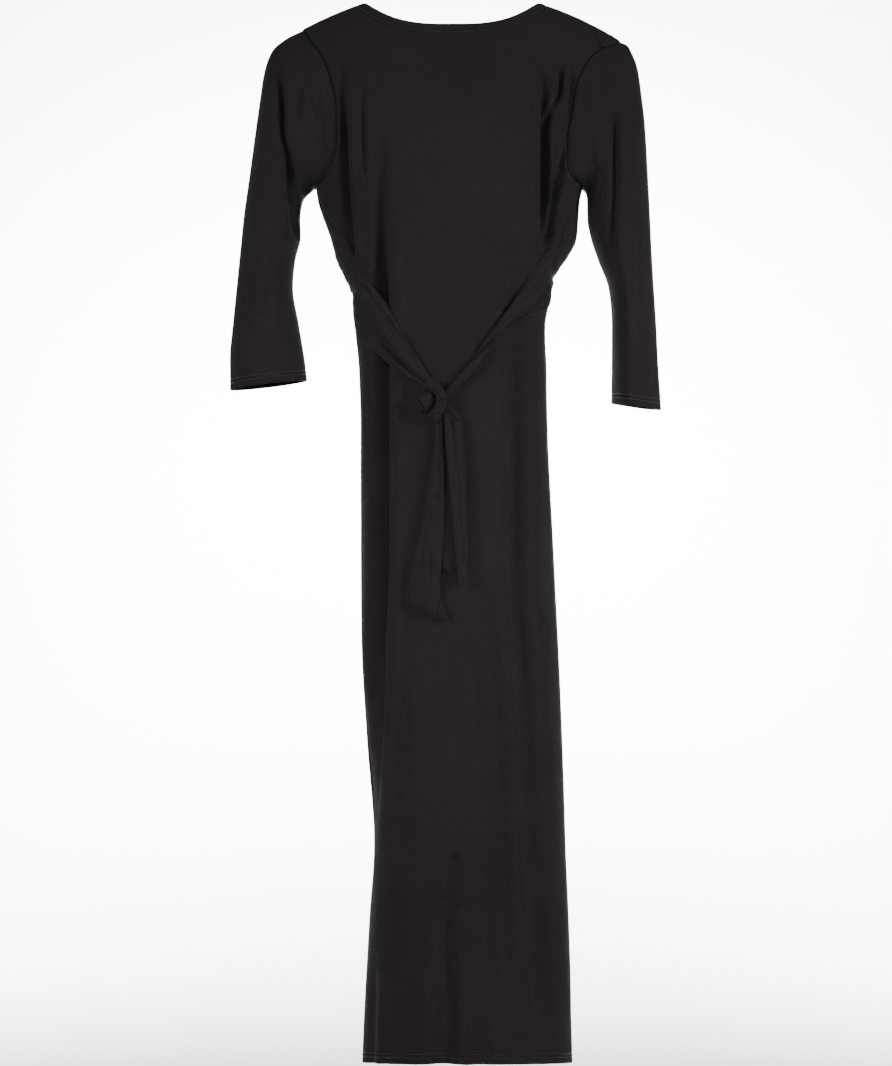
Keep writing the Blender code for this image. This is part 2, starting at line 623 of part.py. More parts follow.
def panel_levels(division):
    """Levels of a panel's level rows, closer together near the underarm."""
    share = np.linspace(0, 1, division.chest_rows + 1)
    chest = UNDERARM + (division.level - UNDERARM) * (1 - share) ** CHEST_CLOSING
    return np.concatenate([chest, np.linspace(UNDERARM, GATHER_TOP, SIDE_ROWS)[1:],
                           np.linspace(GATHER_TOP, GATHER_LOW, GATHER_ROWS)[1:],
                           np.linspace(GATHER_LOW, HEM, SKIRT_ROWS)[1:]])


def add_panel(collection, name, side, division, armholes, folds):
    """Add a back or front panel; give the edges of its armholes and its steps at the neck."""
    u = across_shares(division.columns)
    grid = panel_grid(side, u, division.top_rows, panel_levels(division), armholes)
    grid = fold_panel(grid, folds, side)
    add_sheet(collection, name, grid, JERSEY, flip=side > 0)
    down_to_underarm = division.top_rows + division.chest_rows + 2
    neck_steps = len(u) - 1 - 2 * SHOULDER_COLUMNS
    return grid[:down_to_underarm, :2], grid[:down_to_underarm, :-3:-1], neck_steps


def build():
    """Clear the scene and build each piece of the dress."""
    for old in list(bpy.data.objects):
        bpy.data.objects.remove(old)
    dress = bpy.data.collections.new("jersey_midi_dress")
    bpy.context.scene.collection.children.link(dress)

    back_left, back_right, back_steps = add_panel(
        dress, "back_panel", -1, BACK_DIVISION, (LEFT_BACK_ARMHOLE, RIGHT_BACK_ARMHOLE),
        BACK_FOLDS)
    front_left, front_right, front_steps = add_panel(
        dress, "front_panel", 1, FRONT_DIVISION, (LEFT_FRONT_ARMHOLE, RIGHT_FRONT_ARMHOLE),
        FRONT_FOLDS)

    left = sleeve_grid(LEFT_RINGS, LEFT_SLEEVE_FOLDS, back_left, front_left, False)
    add_sheet(dress, "sleeve_left", left, JERSEY, closed=True)
    right = sleeve_grid(RIGHT_RINGS, RIGHT_SLEEVE_FOLDS, back_right, front_right, True)
    add_sheet(dress, "sleeve_right", right, JERSEY, closed=True, flip=True)
    add_sheet(dress, "neckband", neckband_grid(back_steps, front_steps), BAND_JERSEY,
              closed=True)

    tie = ribbon_grid(LEFT_TIE, TIE_ROWS, TIE_COLUMNS)
    add_sheet(dress, "tie_left", tie, JERSEY, flip=True)
    tie = ribbon_grid(RIGHT_TIE, TIE_ROWS, TIE_COLUMNS)
    add_sheet(dress, "tie_right", tie, JERSEY)
    tail = ribbon_grid(LEFT_TAIL, LEFT_TAIL_ROWS, LEFT_TAIL_COLUMNS)
    add_sheet(dress, "tail_left", tail, JERSEY)
    add_sheet(dress, "tail_right", folded_tail_grid(RIGHT_TAIL, RIGHT_TAIL_ROWS), JERSEY)
    add_knot(dress)


build()
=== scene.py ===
"""The looks of the jersey midi dress: cloth shells, creases, sewing, jersey and studio light.

The frame has +Z up and its origin between the two neck points of the shoulders. The back of the
dress faces -Y, the front +Y, and +X is the wearer's right. Lengths are in metres.
"""
from collections import namedtuple

import bmesh
import bpy
import numpy as np
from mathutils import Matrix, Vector


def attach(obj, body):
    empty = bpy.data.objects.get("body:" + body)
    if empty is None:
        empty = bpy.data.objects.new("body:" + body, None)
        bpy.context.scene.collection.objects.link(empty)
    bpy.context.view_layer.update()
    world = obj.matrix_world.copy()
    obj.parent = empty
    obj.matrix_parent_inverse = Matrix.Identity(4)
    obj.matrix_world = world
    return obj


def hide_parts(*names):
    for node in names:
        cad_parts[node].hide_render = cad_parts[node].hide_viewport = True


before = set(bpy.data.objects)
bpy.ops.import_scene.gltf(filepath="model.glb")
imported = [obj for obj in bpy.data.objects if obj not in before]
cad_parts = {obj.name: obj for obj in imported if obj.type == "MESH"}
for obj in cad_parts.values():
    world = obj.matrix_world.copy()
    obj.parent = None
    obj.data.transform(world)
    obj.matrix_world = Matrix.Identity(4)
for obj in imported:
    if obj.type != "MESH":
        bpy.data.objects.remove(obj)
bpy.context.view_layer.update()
BODY = "root"

MM = 0.001


def table(kind, *rows):
    """The rows of a table, each with the names of its kind."""
    return [kind(*row) for row in rows]


# Cloth
CLOTH = 1.1 * MM
TIE_CLOTH = 1.5 * MM
BAND_CLOTH = 0.5 * MM
SEAM_GAP = 0.2 * MM
SHOULDER_GAP = 0.4 * MM
ARMHOLE_GAP = 0.3 * MM
UNDERARM_GAP = 0.6 * MM
SLEEVE_STRIP = 2 * MM
SHOULDER_COLUMNS = 46
# Columns spread over this turn at the armholes, and over the whole side lower down
NARROW_TURN = np.radians(58)
SIDE_TURN = np.radians(89)
TURNS_NARROW_AT = -140 * MM
TURNS_WIDE_AT = -320 * MM
# Folds fade out this near to a seam, and the seam itself lies this deep in a groove
HOLD = 7 * MM
SEAM_SINK = 0.8 * MM
SEAM_REACH = 2.2 * MM
# Cloth that a trough takes up is heaped beside it
HEAP = 0.22
HEAP_AT = 1.9
HEAP_WIDTH = 0.9
# The hem and cuffs are turned under by this much, with two rows of stitches above the edge
TURNED = 14 * MM
TURN_THICKNESS = 2.3 * MM
# Rows of a turned edge's fold, as shares of its thickness, and how far the first one drops
TURN_FOLD = (0.35, 0.75)
TURN_DROP = 0.3 * MM
STITCH_ROWS = (7.2 * MM, 12 * MM)
GROOVE_DEPTH = 0.35 * MM
GROOVE_WIDTH = 1.0 * MM
FINE_STRIP = 18 * MM

# Lengths of the dress
HEM = -1277 * MM
UNDERARM = -225 * MM
BACK_HEM_LIFT = 14 * MM
HEM_LIFT_FROM = -900 * MM
# The back's hem has its full lift this deep behind the middle plane
HEM_LIFT_DEPTH = 0.08

# Shoulders: the ridge falls away outside the neck, and each panel rolls down from it
RIDGE_FLAT_TO = 96 * MM
RIDGE_SLOPE = 0.27
RIDGE_CURVE = 1.6
ROLL_HEIGHT = 140 * MM
RIDGE_DEPTH = 53 * MM
SIDE_ROUNDNESS = 2.2
# What stands off the back stays within this share of its half width, and the way that it stands
# off is read over this length
OFF_SHARE = 0.995
OFF_STEP = 2 * MM

# Neck: half widths at the band's free edge and at its seam, and the scoop of each
NECK_EDGE = 104.3 * MM
NECK_SEAM = 114 * MM
BACK_SCOOP = 3.0
FRONT_SCOOP = 2.4
BACK_EDGE_DROP = 31 * MM
BACK_SEAM_DROP = 36 * MM
FRONT_EDGE_DROP = 96 * MM
FRONT_SEAM_DROP = 101 * MM

# How a panel is divided: its columns, its rows down to its first level row, then its level
# rows down to the underarm
Division = namedtuple("Division", "columns top_rows level chest_rows")
BACK_DIVISION = Division(224, 28, -78 * MM, 32)
FRONT_DIVISION = Division(214, 36, -140 * MM, 24)
# Rows from the underarm to the gathers, through them, down the skirt and over the hem
SIDE_ROWS = 14
GATHER_ROWS = 32
SKIRT_ROWS = 82
HEM_ROWS = 14
CHEST_CLOSING = 1.6
# Columns close up at the neck's ends and at a panel's quarters, and open at its middle
NECK_CLOSING = 0.6
MIDDLE_OPENING = 0.2
QUARTER_CLOSING = 0.33
# Powers that keep the shift of a held edge near it: on level rows high up and low down, down
# from the shoulder, and across the patch above the first level row
HIGH_HOLD, LOW_HOLD = 6, 4
SHOULDER_HOLD = 8
PATCH_HOLD = 5
# The right shoulder seam leaves the ridge from this share of its way out from the neck
RIDGE_LEFT_AT = 0.72
GATHER_TOP = -276 * MM
GATHER_LOW = -366 * MM

Section = namedtuple("Section", "z left right back front left_seam right_seam")
# Half widths and depths in millimetres, seam angles in degrees from the middle of the back
SECTIONS = table(
    Section,
    (0, -260, 260, 53, 53, 90, 90),
    (-40, -235, 240, 53, 54, 90, 90),
    (-75, -200, 204, 57, 60, 90, 90),
    (-130, -176, 174, 66, 75, 90, 90),
    (-178, -169, 165, 72, 83, 90, 90),
    (-225, -163.5, 158, 75, 86, 89, 89),
    (-240, -161, 154.5, 74.5, 85, 83, 83),
    (-287, -145.4, 150.5, 70, 79, 67, 60),
    (-311, -139.4, 138, 67, 76, 60, 60),
    (-335, -128.6, 123.3, 65, 73, 66, 74),
    (-359, -118.9, 118.5, 64, 71, 81, 81),
    (-395, -116.5, 113, 64, 70, 88, 88),
    (-443, -111.7, 113.4, 66, 71, 88, 88),
    (-528, -109.3, 116, 72, 74, 88, 88),
    (-648, -109.3, 122, 77, 77, 88, 88),
    (-769, -108, 128, 79, 78, 88, 88),
    (-889, -102, 133, 80, 78, 88, 88),
    (-1010, -93.6, 136.5, 81, 79, 88, 88),
    (-1100, -98.4, 140, 82, 80, 88, 88),
    (-1221, -104.5, 143.8, 83, 82, 88, 88),
    (-1277, -106.5, 145.5, 84, 84, 88, 88),
)

Armhole = namedtuple("Armhole", "x z over", defaults=(1,))
# From the shoulder seam to the underarm; over is -1 on the far side of the ridge, 0 on it
LEFT_BACK_ARMHOLE = table(
    Armhole,
    (-181, -36.7, 0), (-168.5, -52), (-158.5, -64),
    (-151, -78), (-141, -111), (-136.5, -138),
    (-136.5, -173), (-142, -199), (-150, -216),
    (-163, -225),
)
LEFT_FRONT_ARMHOLE = table(
    Armhole,
    (-181, -36.7, 0), (-169, -55), (-157, -80),
    (-147, -112), (-141, -146), (-141, -184),
    (-147, -208), (-163, -225),
)
RIGHT_BACK_ARMHOLE = table(
    Armhole,
    (180.2, -59.6), (170, -67.5), (157.3, -84),
    (147.6, -108), (142, -138), (137, -173),
    (137, -202), (144, -218), (157, -225),
)
RIGHT_FRONT_ARMHOLE = table(
    Armhole,
    (180.2, -59.6, -1), (195, -54.5, -1), (203, -50.6, 0),
    (197, -60), (182, -84), (166, -111),
    (152, -146), (146, -184), (146.5, -203),
    (149, -214), (157, -225),
)

Crease = namedtuple("Crease", "path left right grow depth fade_top fade_low")
# Troughs of a sheet: a path of (x, z) from its top down, the half width of the side towards -X and
# of the side towards +X at its top, how they grow to its foot, its depth and the shares of it that
# fade at its two ends. Lengths are in millimetres, and a ridge has a depth below 0.
BACK_CREASES = table(
    Crease,
    ([(-129, -62), (-127, -131), (-125, -200), (-121.5, -260), (-117, -320)],
     7, 2, 1, 10.5, .45, .06),
    ([(-104, -100), (-104, -150), (-101, -240)], 3, 2.5, 1, 3.4, .3, .3),
    ([(-82, -138), (-80.5, -255), (-79.5, -424), (-80, -672), (-84, -766), (-87.5, -908),
      (-94, -1030)], 12, 3, 1.3, 18, .3, .3),
    ([(-97, -320), (-98, -480), (-99, -640)], 4, 4, 1, 2, .3, .4),
    ([(107.5, -64), (107.5, -152), (107.5, -229), (107, -314)], 1.8, 9, 1, 13, .4, .12),
    ([(131, -64), (129, -112), (123, -129), (116, -147), (112, -175)],
     3.5, 3.5, 1, 6.5, .3, .35),
    ([(119, -168), (118, -220), (113.5, -300)], 2.2, 2.4, 1, -2.2, .3, .2),
    ([(144, -66), (143, -112), (134, -195), (125, -224), (118, -271), (113.5, -304)],
     3.5, 4.5, 1, 9, .35, .08),
    ([(74.5, -240), (74.5, -347), (75.5, -672), (83, -800), (89.5, -930), (97, -1050),
      (102, -1132), (110, -1215), (113, -1255)], 9, 14, 1.3, 11, .3, .1),
    ([(40, -585), (41, -670), (46, -760), (52.5, -884), (59.5, -1002), (61.5, -1167),
      (62, -1240)], 17, 13, 1.1, 11, .5, .3),
    ([(-64, -750), (-63.5, -900), (-62, -1040)], 9, 10, 1, 4.5, .4, .4),
    ([(4, -1010), (-7, -1110), (-5, -1190), (-11, -1250), (-12, -1300)],
     3, 3.5, 5, 7.5, .5, .02),
    ([(-92, -1120), (-95, -1190), (-98, -1290)], 5, 5, 1.2, 5.5, .5, .05),
    ([(20, -1120), (26, -1200), (34, -1290)], 6, 8, 1.5, 2.6, .5, .04),
    ([(-13, -42), (-3, -54), (4, -60)], 2, 2, 1, 0.9, .4, .4),
    ([(20, -40), (11, -52), (5, -60)], 2, 2, 1, 0.9, .4, .4),
)
FRONT_CREASES = table(
    Crease,
    ([(-98, -120), (-101, -190), (-108, -260), (-118, -335)], 9, 3, 0.8, 7, .3, .1),
    ([(-70, -180), (-82, -240), (-97, -300), (-114, -350)], 3, 7, 0.8, 5, .35, .1),
    ([(104, -110), (106, -190), (110, -260), (117, -330)], 3, 8, 0.8, 7, .3, .1),
    ([(62, -190), (78, -250), (97, -305), (113, -350)], 8, 3, 0.8, 5, .35, .1),
    ([(-40, -250), (-62, -295), (-88, -330), (-112, -352)], 5, 6, 0.9, 3.5, .4, .1),
    ([(38, -255), (60, -300), (86, -330), (112, -350)], 6, 5, 0.9, 3.5, .4, .1),
    ([(-20, -290), (-48, -325), (-82, -352), (-112, -362)], 3, 4, 1, 2.4, .4, .1),
    ([(14, -300), (46, -332), (82, -352), (112, -360)], 4, 3, 1, 2.2, .4, .1),
    ([(-112, -352), (-98, -480), (-86, -700), (-80, -900)], 8, 3, 2, 9, .1, .3),
    ([(-108, -360), (-76, -430), (-58, -560), (-50, -760)], 5, 5, 2.4, 5, .12, .4),
    ([(112, -350), (96, -480), (84, -760), (86, -1050), (88, -1290)], 3, 8, 2, 10, .1, .05),
    ([(108, -360), (70, -440), (52, -580), (48, -760)], 5, 5, 2.4, 5, .12, .4),
    ([(24, -420), (18, -640), (22, -900), (30, -1290)], 9, 9, 2, 7, .3, .03),
    ([(-38, -640), (-40, -850), (-36, -1100), (-30, -1420)], 10, 10, 2, 6, .35, .03),
    ([(-84, -980), (-80, -1120), (-78, -1300)], 8, 8, 1.9, 6, .4, .03),
)
LEFT_SLEEVE_CREASES = table(
    Crease,
    ([(-212, -80), (-205, -119), (-203, -163), (-195, -200), (-192, -238), (-188, -276),
      (-180, -296)], 1.6, 6, 1.2, 11, .15, .1),
    ([(-179, -90), (-182, -130), (-184, -165)], 5, 5, 1, 4.5, .4, .4),
    ([(-163, -98), (-158, -140), (-150, -208)], 4, 4, 1, 3.2, .3, .3),
    ([(-198, -92), (-199, -130)], 2.5, 2.5, 1, 1.6, .4, .4),
    ([(-214, -310), (-219, -360), (-221, -410)], 5, 6, 1, 2.2, .4, .4),
    ([(-240, -230), (-246, -330), (-249, -430)], 7, 7, 1, 1.6, .4, .4),
)
RIGHT_SLEEVE_CREASES = table(
    Crease,
    ([(193, -88), (195, -144), (195, -220), (192, -290), (191.5, -355)],
     7, 2, 1, 7.5, .35, .35),
    ([(177, -68), (178, -105), (178, -140)], 5, 5, 1, 4.5, .4, .4),
    ([(168, -145), (171, -180), (174, -218)], 2, 2, 1, -1.6, .3, .3),
    ([(171, -198), (172.5, -220), (173, -240)], 3, 3, 1, 3, .3, .3),
    ([(176, -225), (178.5, -256), (172, -292)], 2.5, 2.5, 1, -1.8, .3, .3),
    ([(222, -226), (223, -340), (221, -480)], 7, 8, 1, 2.2, .3, .3),
    ([(206, -330), (203, -390), (204, -450)], 4, 5, 1, 1.6, .4, .4),
)
# Creases of the ties and tails, whose ends are under the knot
LEFT_TIE_CREASES = table(
    Crease,
    ([(-116, -350), (-104, -372), (-91, -395), (-67, -430), (-40, -457), (-30, -464)],
     6, 1.3, 0.8, 4.2, .05, .1),
    ([(-116, -334), (-100, -352), (-76, -388), (-50, -424), (-34, -449)],
     1.6, 2.2, 1, 1.9, .15, .15),
    ([(-114, -372), (-100, -396), (-80, -420), (-58, -441), (-44, -455)],
     2.4, 2.4, 1, 2.1, .2, .2),
    ([(-110, -328), (-92, -354), (-78, -374)], 1.2, 1.2, 1, 0.9, .2, .4),
)
RIGHT_TIE_CREASES = table(
    Crease,
    ([(117, -342), (96, -370), (63, -400), (30, -428), (6, -453), (-6, -470)],
     1.4, 3.4, 0.7, 4, .06, .1),
    ([(115, -312), (92, -340), (62, -378), (34, -414), (12, -440)], 2, 2, 1, 2, .1, .2),
    ([(116, -328), (100, -348), (84, -366), (66, -386)], 3, 2, 1, 1.6, .1, .4),
    ([(112, -354), (96, -376), (76, -390)], 1.4, 1.6, 1, 1.1, .2, .3),
)
LEFT_TAIL_CREASES = table(
    Crease,
    ([(-18, -505), (-15, -540), (-17, -580), (-22, -620)], 2, 3.5, 1, 2, .05, .5),
    ([(-23, -590), (-19, -600), (-13, -612)], 3, 3, 1, 1.5, .3, .4),
    ([(-37, -650), (-27, -660), (-26, -680), (-29, -704)], 3, 2, 1, 1.6, .3, .3),
    ([(-13, -700), (-15, -715), (-19, -736)], 1, 9, 1, 3, .15, .02),
    ([(-30, -620), (-36, -660), (-42, -700)], 2.5, 3.5, 1, 0.9, .3, .3),
)
RIGHT_TAIL_CREASES = table(
    Crease,
    ([(-3, -498), (2, -504), (8, -511)], 1, 1.4, 1, 2.6, .1, .2),
    ([(6, -556), (8, -600), (12, -650), (14.5, -696)], 1.6, 1.8, 1, 0.8, .2, .1),
    ([(-1.5, -503), (0.5, -516), (2, -532)], 2, 3, 1.3, 2.8, .1, .5),
    ([(1, -520), (3, -548), (5, -580)], 1.5, 3, 1, 1.4, .2, .5),
)

Ring = namedtuple("Ring", "in_x in_z out_x out_z depth power skew", defaults=(2, 0))
# Sleeve rings after the armhole: inner and outer points, half depth, roundness and skew
LEFT_RINGS = table(
    Ring,
    (-166, -227, -199.7, -45.8, 44), (-169, -230.5, -216.5, -60.3, 45),
    (-173, -234, -226.2, -86.8, 45), (-177.5, -239, -231, -118, 45),
    (-180.5, -248, -237, -163, 44), (-182, -263, -243, -208, 43),
    (-181.5, -284, -250.3, -259, 42), (-188, -312, -255.1, -305, 41),
    (-191, -345, -259.3, -347, 40), (-184, -391, -263.5, -389, 40),
    (-177.5, -430, -266.9, -429, 40), (-174, -456.5, -266.5, -468, 40),
)
RIGHT_RINGS = table(
    Ring,
    (160.5, -229, 211, -53, 42), (161.5, -232.5, 217.3, -63.9, 45),
    (162.5, -237, 223.3, -79.5, 46), (163, -244, 228, -108.4, 46),
    (163, -253, 233, -154, 46), (163.5, -266, 236.5, -212, 46, 2, -2),
    (167, -284, 239, -257, 46, 1.9, -4), (176, -312, 241.4, -305, 47, 1.8, -6),
    (188.5, -347, 243.8, -347, 48, 1.7, -8), (192.5, -389, 246.2, -389, 49, 1.6, -10),
    (192.5, -431, 248, -431, 50, 1.5, -11), (192, -484.4, 252, -491.6, 51, 1.45, -12),
)
CAP_RINGS = 5
# The crest of an armhole is where z and this much of x together are highest
CREST_LEAN = 0.35

Edge = namedtuple("Edge", "upper_x upper_z lower_x lower_z off_upper off_middle off_lower")
# Ties: the two long edges in millimetres and how far each line stands off the back
LEFT_TIE = table(
    Edge,
    (-117.2, -319, -117, -380, 1.9, 2.3, 1.9), (-104, -334, -109, -407, 3, 7, 5),
    (-78, -366, -90, -425, 3.5, 9, 7), (-47, -420, -56, -455, 4, 9, 7),
    (-28, -450, -40, -464, 4, 6.2, 4), (-21, -461, -33, -469.5, 4, 6.2, 4),
)
RIGHT_TIE = table(
    Edge,
    (115.5, -301, 118.5, -349, 1.9, 2.3, 1.9), (104, -316, 110, -371, 3, 7, 7),
    (82.8, -347, 76, -391, 4, 9, 8), (55.4, -386, 55.4, -408, 4.5, 9, 8),
    (29.5, -425, 29.5, -448, 4.5, 9, 7), (-11, -474, -9, -485, 4, 6.3, 4),
)
LEFT_TAIL = table(
    Edge,
    (-21, -505, -8.9, -498, 4.2, 6.4, 4.2), (-21.5, -530, -8.5, -530, 4.5, 7, 5.5),
    (-27.5, -580, -7.2, -580, 5, 7, 6.2), (-39, -646, -9, -650, 5, 7.5, 6.5),
    (-49.5, -697, -13, -703, 6, 7.5, 6.5), (-52, -720, -2.5, -744, 6, 7, 6.5),
)

Lap = namedtuple("Lap", "back_x back_z fold_x fold_z leaf_x leaf_z off rise")
# The right tail is folded along its length: its back leaf's edge, its fold and its front leaf's
# edge, how far the back leaf stands off the dress and the front leaf off the back leaf
RIGHT_TAIL = table(
    Lap,
    (-13, -489, -4, -487, -12, -489, 2.8, 2),
    (-8.5, -512, 9.5, -509, -8.5, -512, 3.5, 3.4),
    (-9, -535, 12.5, -532, -7.4, -535, 3.5, 4.5),
    (-10, -580, 14.3, -576, -2.8, -580, 3.5, 4.5),
    (-10, -640, 16.6, -640, 2.4, -642, 3.5, 4.5),
    (-10.2, -682, 17.4, -697, 8, -701, 3.5, 4.5),
)

# The knot's wrapped band: its outer and inner edge from where it comes over the left tie, round to
# its low end, and how far its crown stands up. Lengths are in millimetres.
Wrap = namedtuple("Wrap", "outer_x outer_z inner_x inner_z lift rise")
WRAP = table(
    Wrap,
    (-31, -457.5, -37, -462, 4, 2.5), (-26.5, -457.2, -36, -465, 6.5, 6),
    (-17.5, -461.5, -30.5, -470, 8.4, 8.5), (-12, -468, -23.5, -475, 8.6, 10),
    (-7.6, -474, -19.8, -477.5, 8.6, 10.5), (-5.6, -480, -18, -482.5, 8.6, 10.5),
    (-5.8, -488, -18.5, -489.5, 8.6, 10), (-8.6, -495, -21.5, -495, 8.4, 9.5),
    (-11.8, -501.5, -26.5, -501.5, 8.2, 8.5), (-14.5, -507.5, -23, -507.5, 7.5, 6),
    (-16, -511.5, -18.5, -511.5, 6.5, 2),
)
WRAP_UNDER = 0.55
WRAP_ROUNDNESS = 0.75
WrapCrease = namedtuple("WrapCrease", "at slant start end width depth")
# Creases across the band: place along it as a share, slant, shares across it, and millimetres
WRAP_CREASES = table(
    WrapCrease,
    (0.12, 0.05, 0.0, 0.8, 1.1, 1.8), (0.22, 0.04, 0.0, 0.5, 0.9, 1.1),
    (0.29, 0.05, 0.1, 0.75, 1.0, 1.2), (0.42, 0.03, 0.3, 1.0, 0.9, 0.9),
    (0.58, 0.06, 0.0, 0.7, 1.1, 1.5), (0.7, -0.04, 0.4, 1.0, 0.9, 1.0),
    (0.8, 0.05, 0.0, 0.85, 1.1, 1.4), (0.91, -0.05, 0.35, 1.0, 1.0, 1.2),
)
# How much deeper the band's creases are sunk than their table says
WRAP_CREASE_DEEPENING = 1.5
# A crease of the band fades over this share of the band's width at its two ends
WRAP_CREASE_FADE = 0.15
WRAP_RINGS, WRAP_AROUND = 110, 56
# The knot's loop: its outline as an angle from +X in degrees and a radius in millimetres
LOOP_OUTLINE = [(21, 11.3), (49.5, 14.4), (87, 11.4), (145, 9.6), (195, 11.6), (231, 11.3),
                (285, 11.6), (335, 9.8), (381, 11.3)]
LOOP_CENTRE = (-30.9 * MM, -487.3 * MM)
LOOP_LIFT = 7.5 * MM
LOOP_RISE = 10.5 * MM
LOOP_UNDER = 6 * MM
# The loop's rings start and end this far from its poles, and this power fills out its shoulders
LOOP_POLE = 0.04
LOOP_ROUNDNESS = 0.85
LoopCrease = namedtuple("LoopCrease", "x0 z0 x1 z1 width depth")
# Creases over the loop, from one point to another off its centre, in millimetres
LOOP_CREASES = table(
    LoopCrease,
    (-4.6, 1, -1, -6, 1.2, 2.6), (-1, -6, 3, -12, 1.2, 2.6),
    (-2, 9, 6, 5, 1.2, 1.0), (5, -8, 9, 1, 1.0, 1.4),
    (-9, -3, -4, -8, 1.1, 0.8),
)
LOOP_RINGS, LOOP_AROUND = 60, 72
# Points of the knot's tubes this near to each other are one
MERGE_WITHIN = 0.001 * MM
TIE_ROWS, TIE_COLUMNS = 120, 48
TIE_END_SHARE, TIE_END_ROWS = 0.965, 18
# Columns close up at a tie's long edges
TIE_CLOSING = 0.7
TIE_RIPPLE_SHARE = 0.5
TIE_RIPPLE_DRAWN = 0.3
TIE_RIPPLE_PITCH = 60 * MM
TAIL_LEAF_COLUMNS = 26
# Shares across the folded tail: where its back leaf ends and its front leaf starts, and the
# columns of the fold, which rises over this many columns to either side
BACK_LEAF_TO, FRONT_LEAF_FROM = 0.95, 0.05
TAIL_FOLD = (0.985, 1, 0.985)
TAIL_FOLD_RISES_OVER = 6
# The long edges of a tie are folded, so they roll under
EDGE_ROLL = 2.2 * MM
EDGE_ROLL_REACH = 1.5 * MM
# The sewn edge across a tail's end
SEWN_EDGE_AT = 2.6 * MM
SEWN_EDGE_WIDTH = 0.9 * MM
SEWN_EDGE_DEPTH = 0.6 * MM

# Ripples, gathers, band and sleeves
RIPPLE = 0.7 * MM
RIPPLE_PITCH = 110 * MM
# A ripple is this many waves, with pitches between these shares of its own, and is drawn out
# along the sheet by the last
RIPPLE_WAVES = 7
RIPPLE_PITCHES = (0.6, 1.7)
RIPPLE_DRAWN = 0.45
LEFT_GATHER_MIDDLE = -322 * MM
RIGHT_GATHER_MIDDLE = -318 * MM
GATHER_HALF = 30 * MM
GATHER_FAN = 0.35
GATHER_REACH = 46 * MM
GATHER_PITCH = 12.5 * MM
GATHER_DEPTH = 2.1 * MM
GATHER_START = 4 * MM
GATHER_FADE = 1.6
SeamWave = namedtuple("SeamWave", "height length left_phase right_phase")
# Down the seam, two waves bend the gathers and one makes them deeper and shallower; lengths are
# in millimetres
GATHER_BENDS = table(SeamWave, (1.9, 17, 0, 1.9), (0.8, 6.3, 0, 0))
GATHER_UNEVEN = SeamWave(0.35, 11, 2.2, 0.4)
GATHER_EVEN = 0.75
# These turn a wave between -1 and 1 into a share of depth from about 0 to 1
GATHER_RAISE = 0.9
GATHER_SCALE = 0.55
SLEEVE_ROWS = 120
CUFF_ROWS = 14
BAND_STEPS = 190
# The creases of a sleeve's front are this share of its back's
FRONT_SLEEVE_SHARE = 0.55
# Creases fade out this near to a sleeve's middle plane
SLEEVE_SIDE_HOLD = 14 * MM
# The underarm reaches this far round a sleeve, and its shape fades sooner down it
UNDERARM_TURN = 0.7
UNDERARM_FADE = 4
# Share of the band's width from its free edge, and height over the neckline's surface
BAND_PROFILE = [(1.0, -2.0), (0.6, -1.8), (0.2, -1.6), (0.04, -1.4), (0, -0.8), (0.04, -0.1),
                (0.2, 0.4), (0.5, 0.6), (0.8, 0.35), (0.94, -0.2), (1.0, -1.1), (1.3, -2.5),
                (1.6, -2.8)]
BAND_DOWN_ROWS = (4, 9)

# Sewing: straight stitches of a twin needle, and two short tacks below the neckband
STITCH_LENGTH = 2.5 * MM
STITCH_PITCH = 3.1 * MM
STITCH_RADIUS = 0.33 * MM
STITCH_AROUND = 6
# A stitch's middle stands out of the cloth by this share of its radius
STITCH_OUT = 0.3
STITCH_SHAPE = [(-0.5, 0.35), (-0.3, 1), (0.3, 1), (0.5, 0.35)]
NECK_STITCHES_BELOW = 1.8 * MM
# The neck's stitches lie within this many of a panel's first rows
NECK_STITCH_ROWS = 12
TACK_PLACES = (-23.5 * MM, 26.4 * MM)
TACK_LENGTH = 5 * MM
TACK_BELOW = 1.2 * MM
TACK_ROW_GAP = 0.6 * MM

# Jersey
WALE = 0.9 * MM
COURSE = 0.75 * MM
JERSEY_ROUGHNESS = 0.85
JERSEY_SPECULAR = 0.03
SHEEN = 0.02
SHEEN_ROUGHNESS = 0.45
SHEEN_TINT = (1, 0.95, 0.95, 1)
KNIT_BUMP = 0.35
KNIT_HEIGHT = 0.25 * MM
KNIT_SLANT = 2.2
KNIT_RAISE = 1.6
KNIT_SHARE = 0.4
# Noise in the jersey's tone: scale and detail, fine and broad, and the share of each
MOTTLE, MOTTLE_SHARE = (420, 3), 0.6
CLOUDS, CLOUD_SHARE = (9, 4), 0.4
# Places of the dark and the light jersey in the spread of its tone
TONE_RANGE = (0.1, 0.9)
DARK_JERSEY = (0.0112, 0.0092, 0.0106, 1)
LIGHT_JERSEY = (0.0214, 0.0180, 0.0203, 1)
THREAD_ROUGHNESS = 0.5
THREAD_SPECULAR = 0.4
# The twist of the thread's plies: scale of its noise, share of it and height
THREAD_TWIST = 2400
THREAD_TWIST_SHARE = 0.5
THREAD_TWIST_HEIGHT = 0.1 * MM
THREAD_COLOUR = (0.0135, 0.0115, 0.0128, 1)
Stain = namedtuple("Stain", "x y z radius")
# Stains reach through the cloth wherever its creases take it
STAIN_DEPTH_SHARE = 0.1
# A stain fades out at this many of its radii, and darkens the jersey by this much
STAIN_FADES_AT = 1.6
STAIN_DARKENS = 0.5
STAINS = [Stain(4.8, -80, -1019, 3.2), Stain(-188, -40, -397, 1.4)]

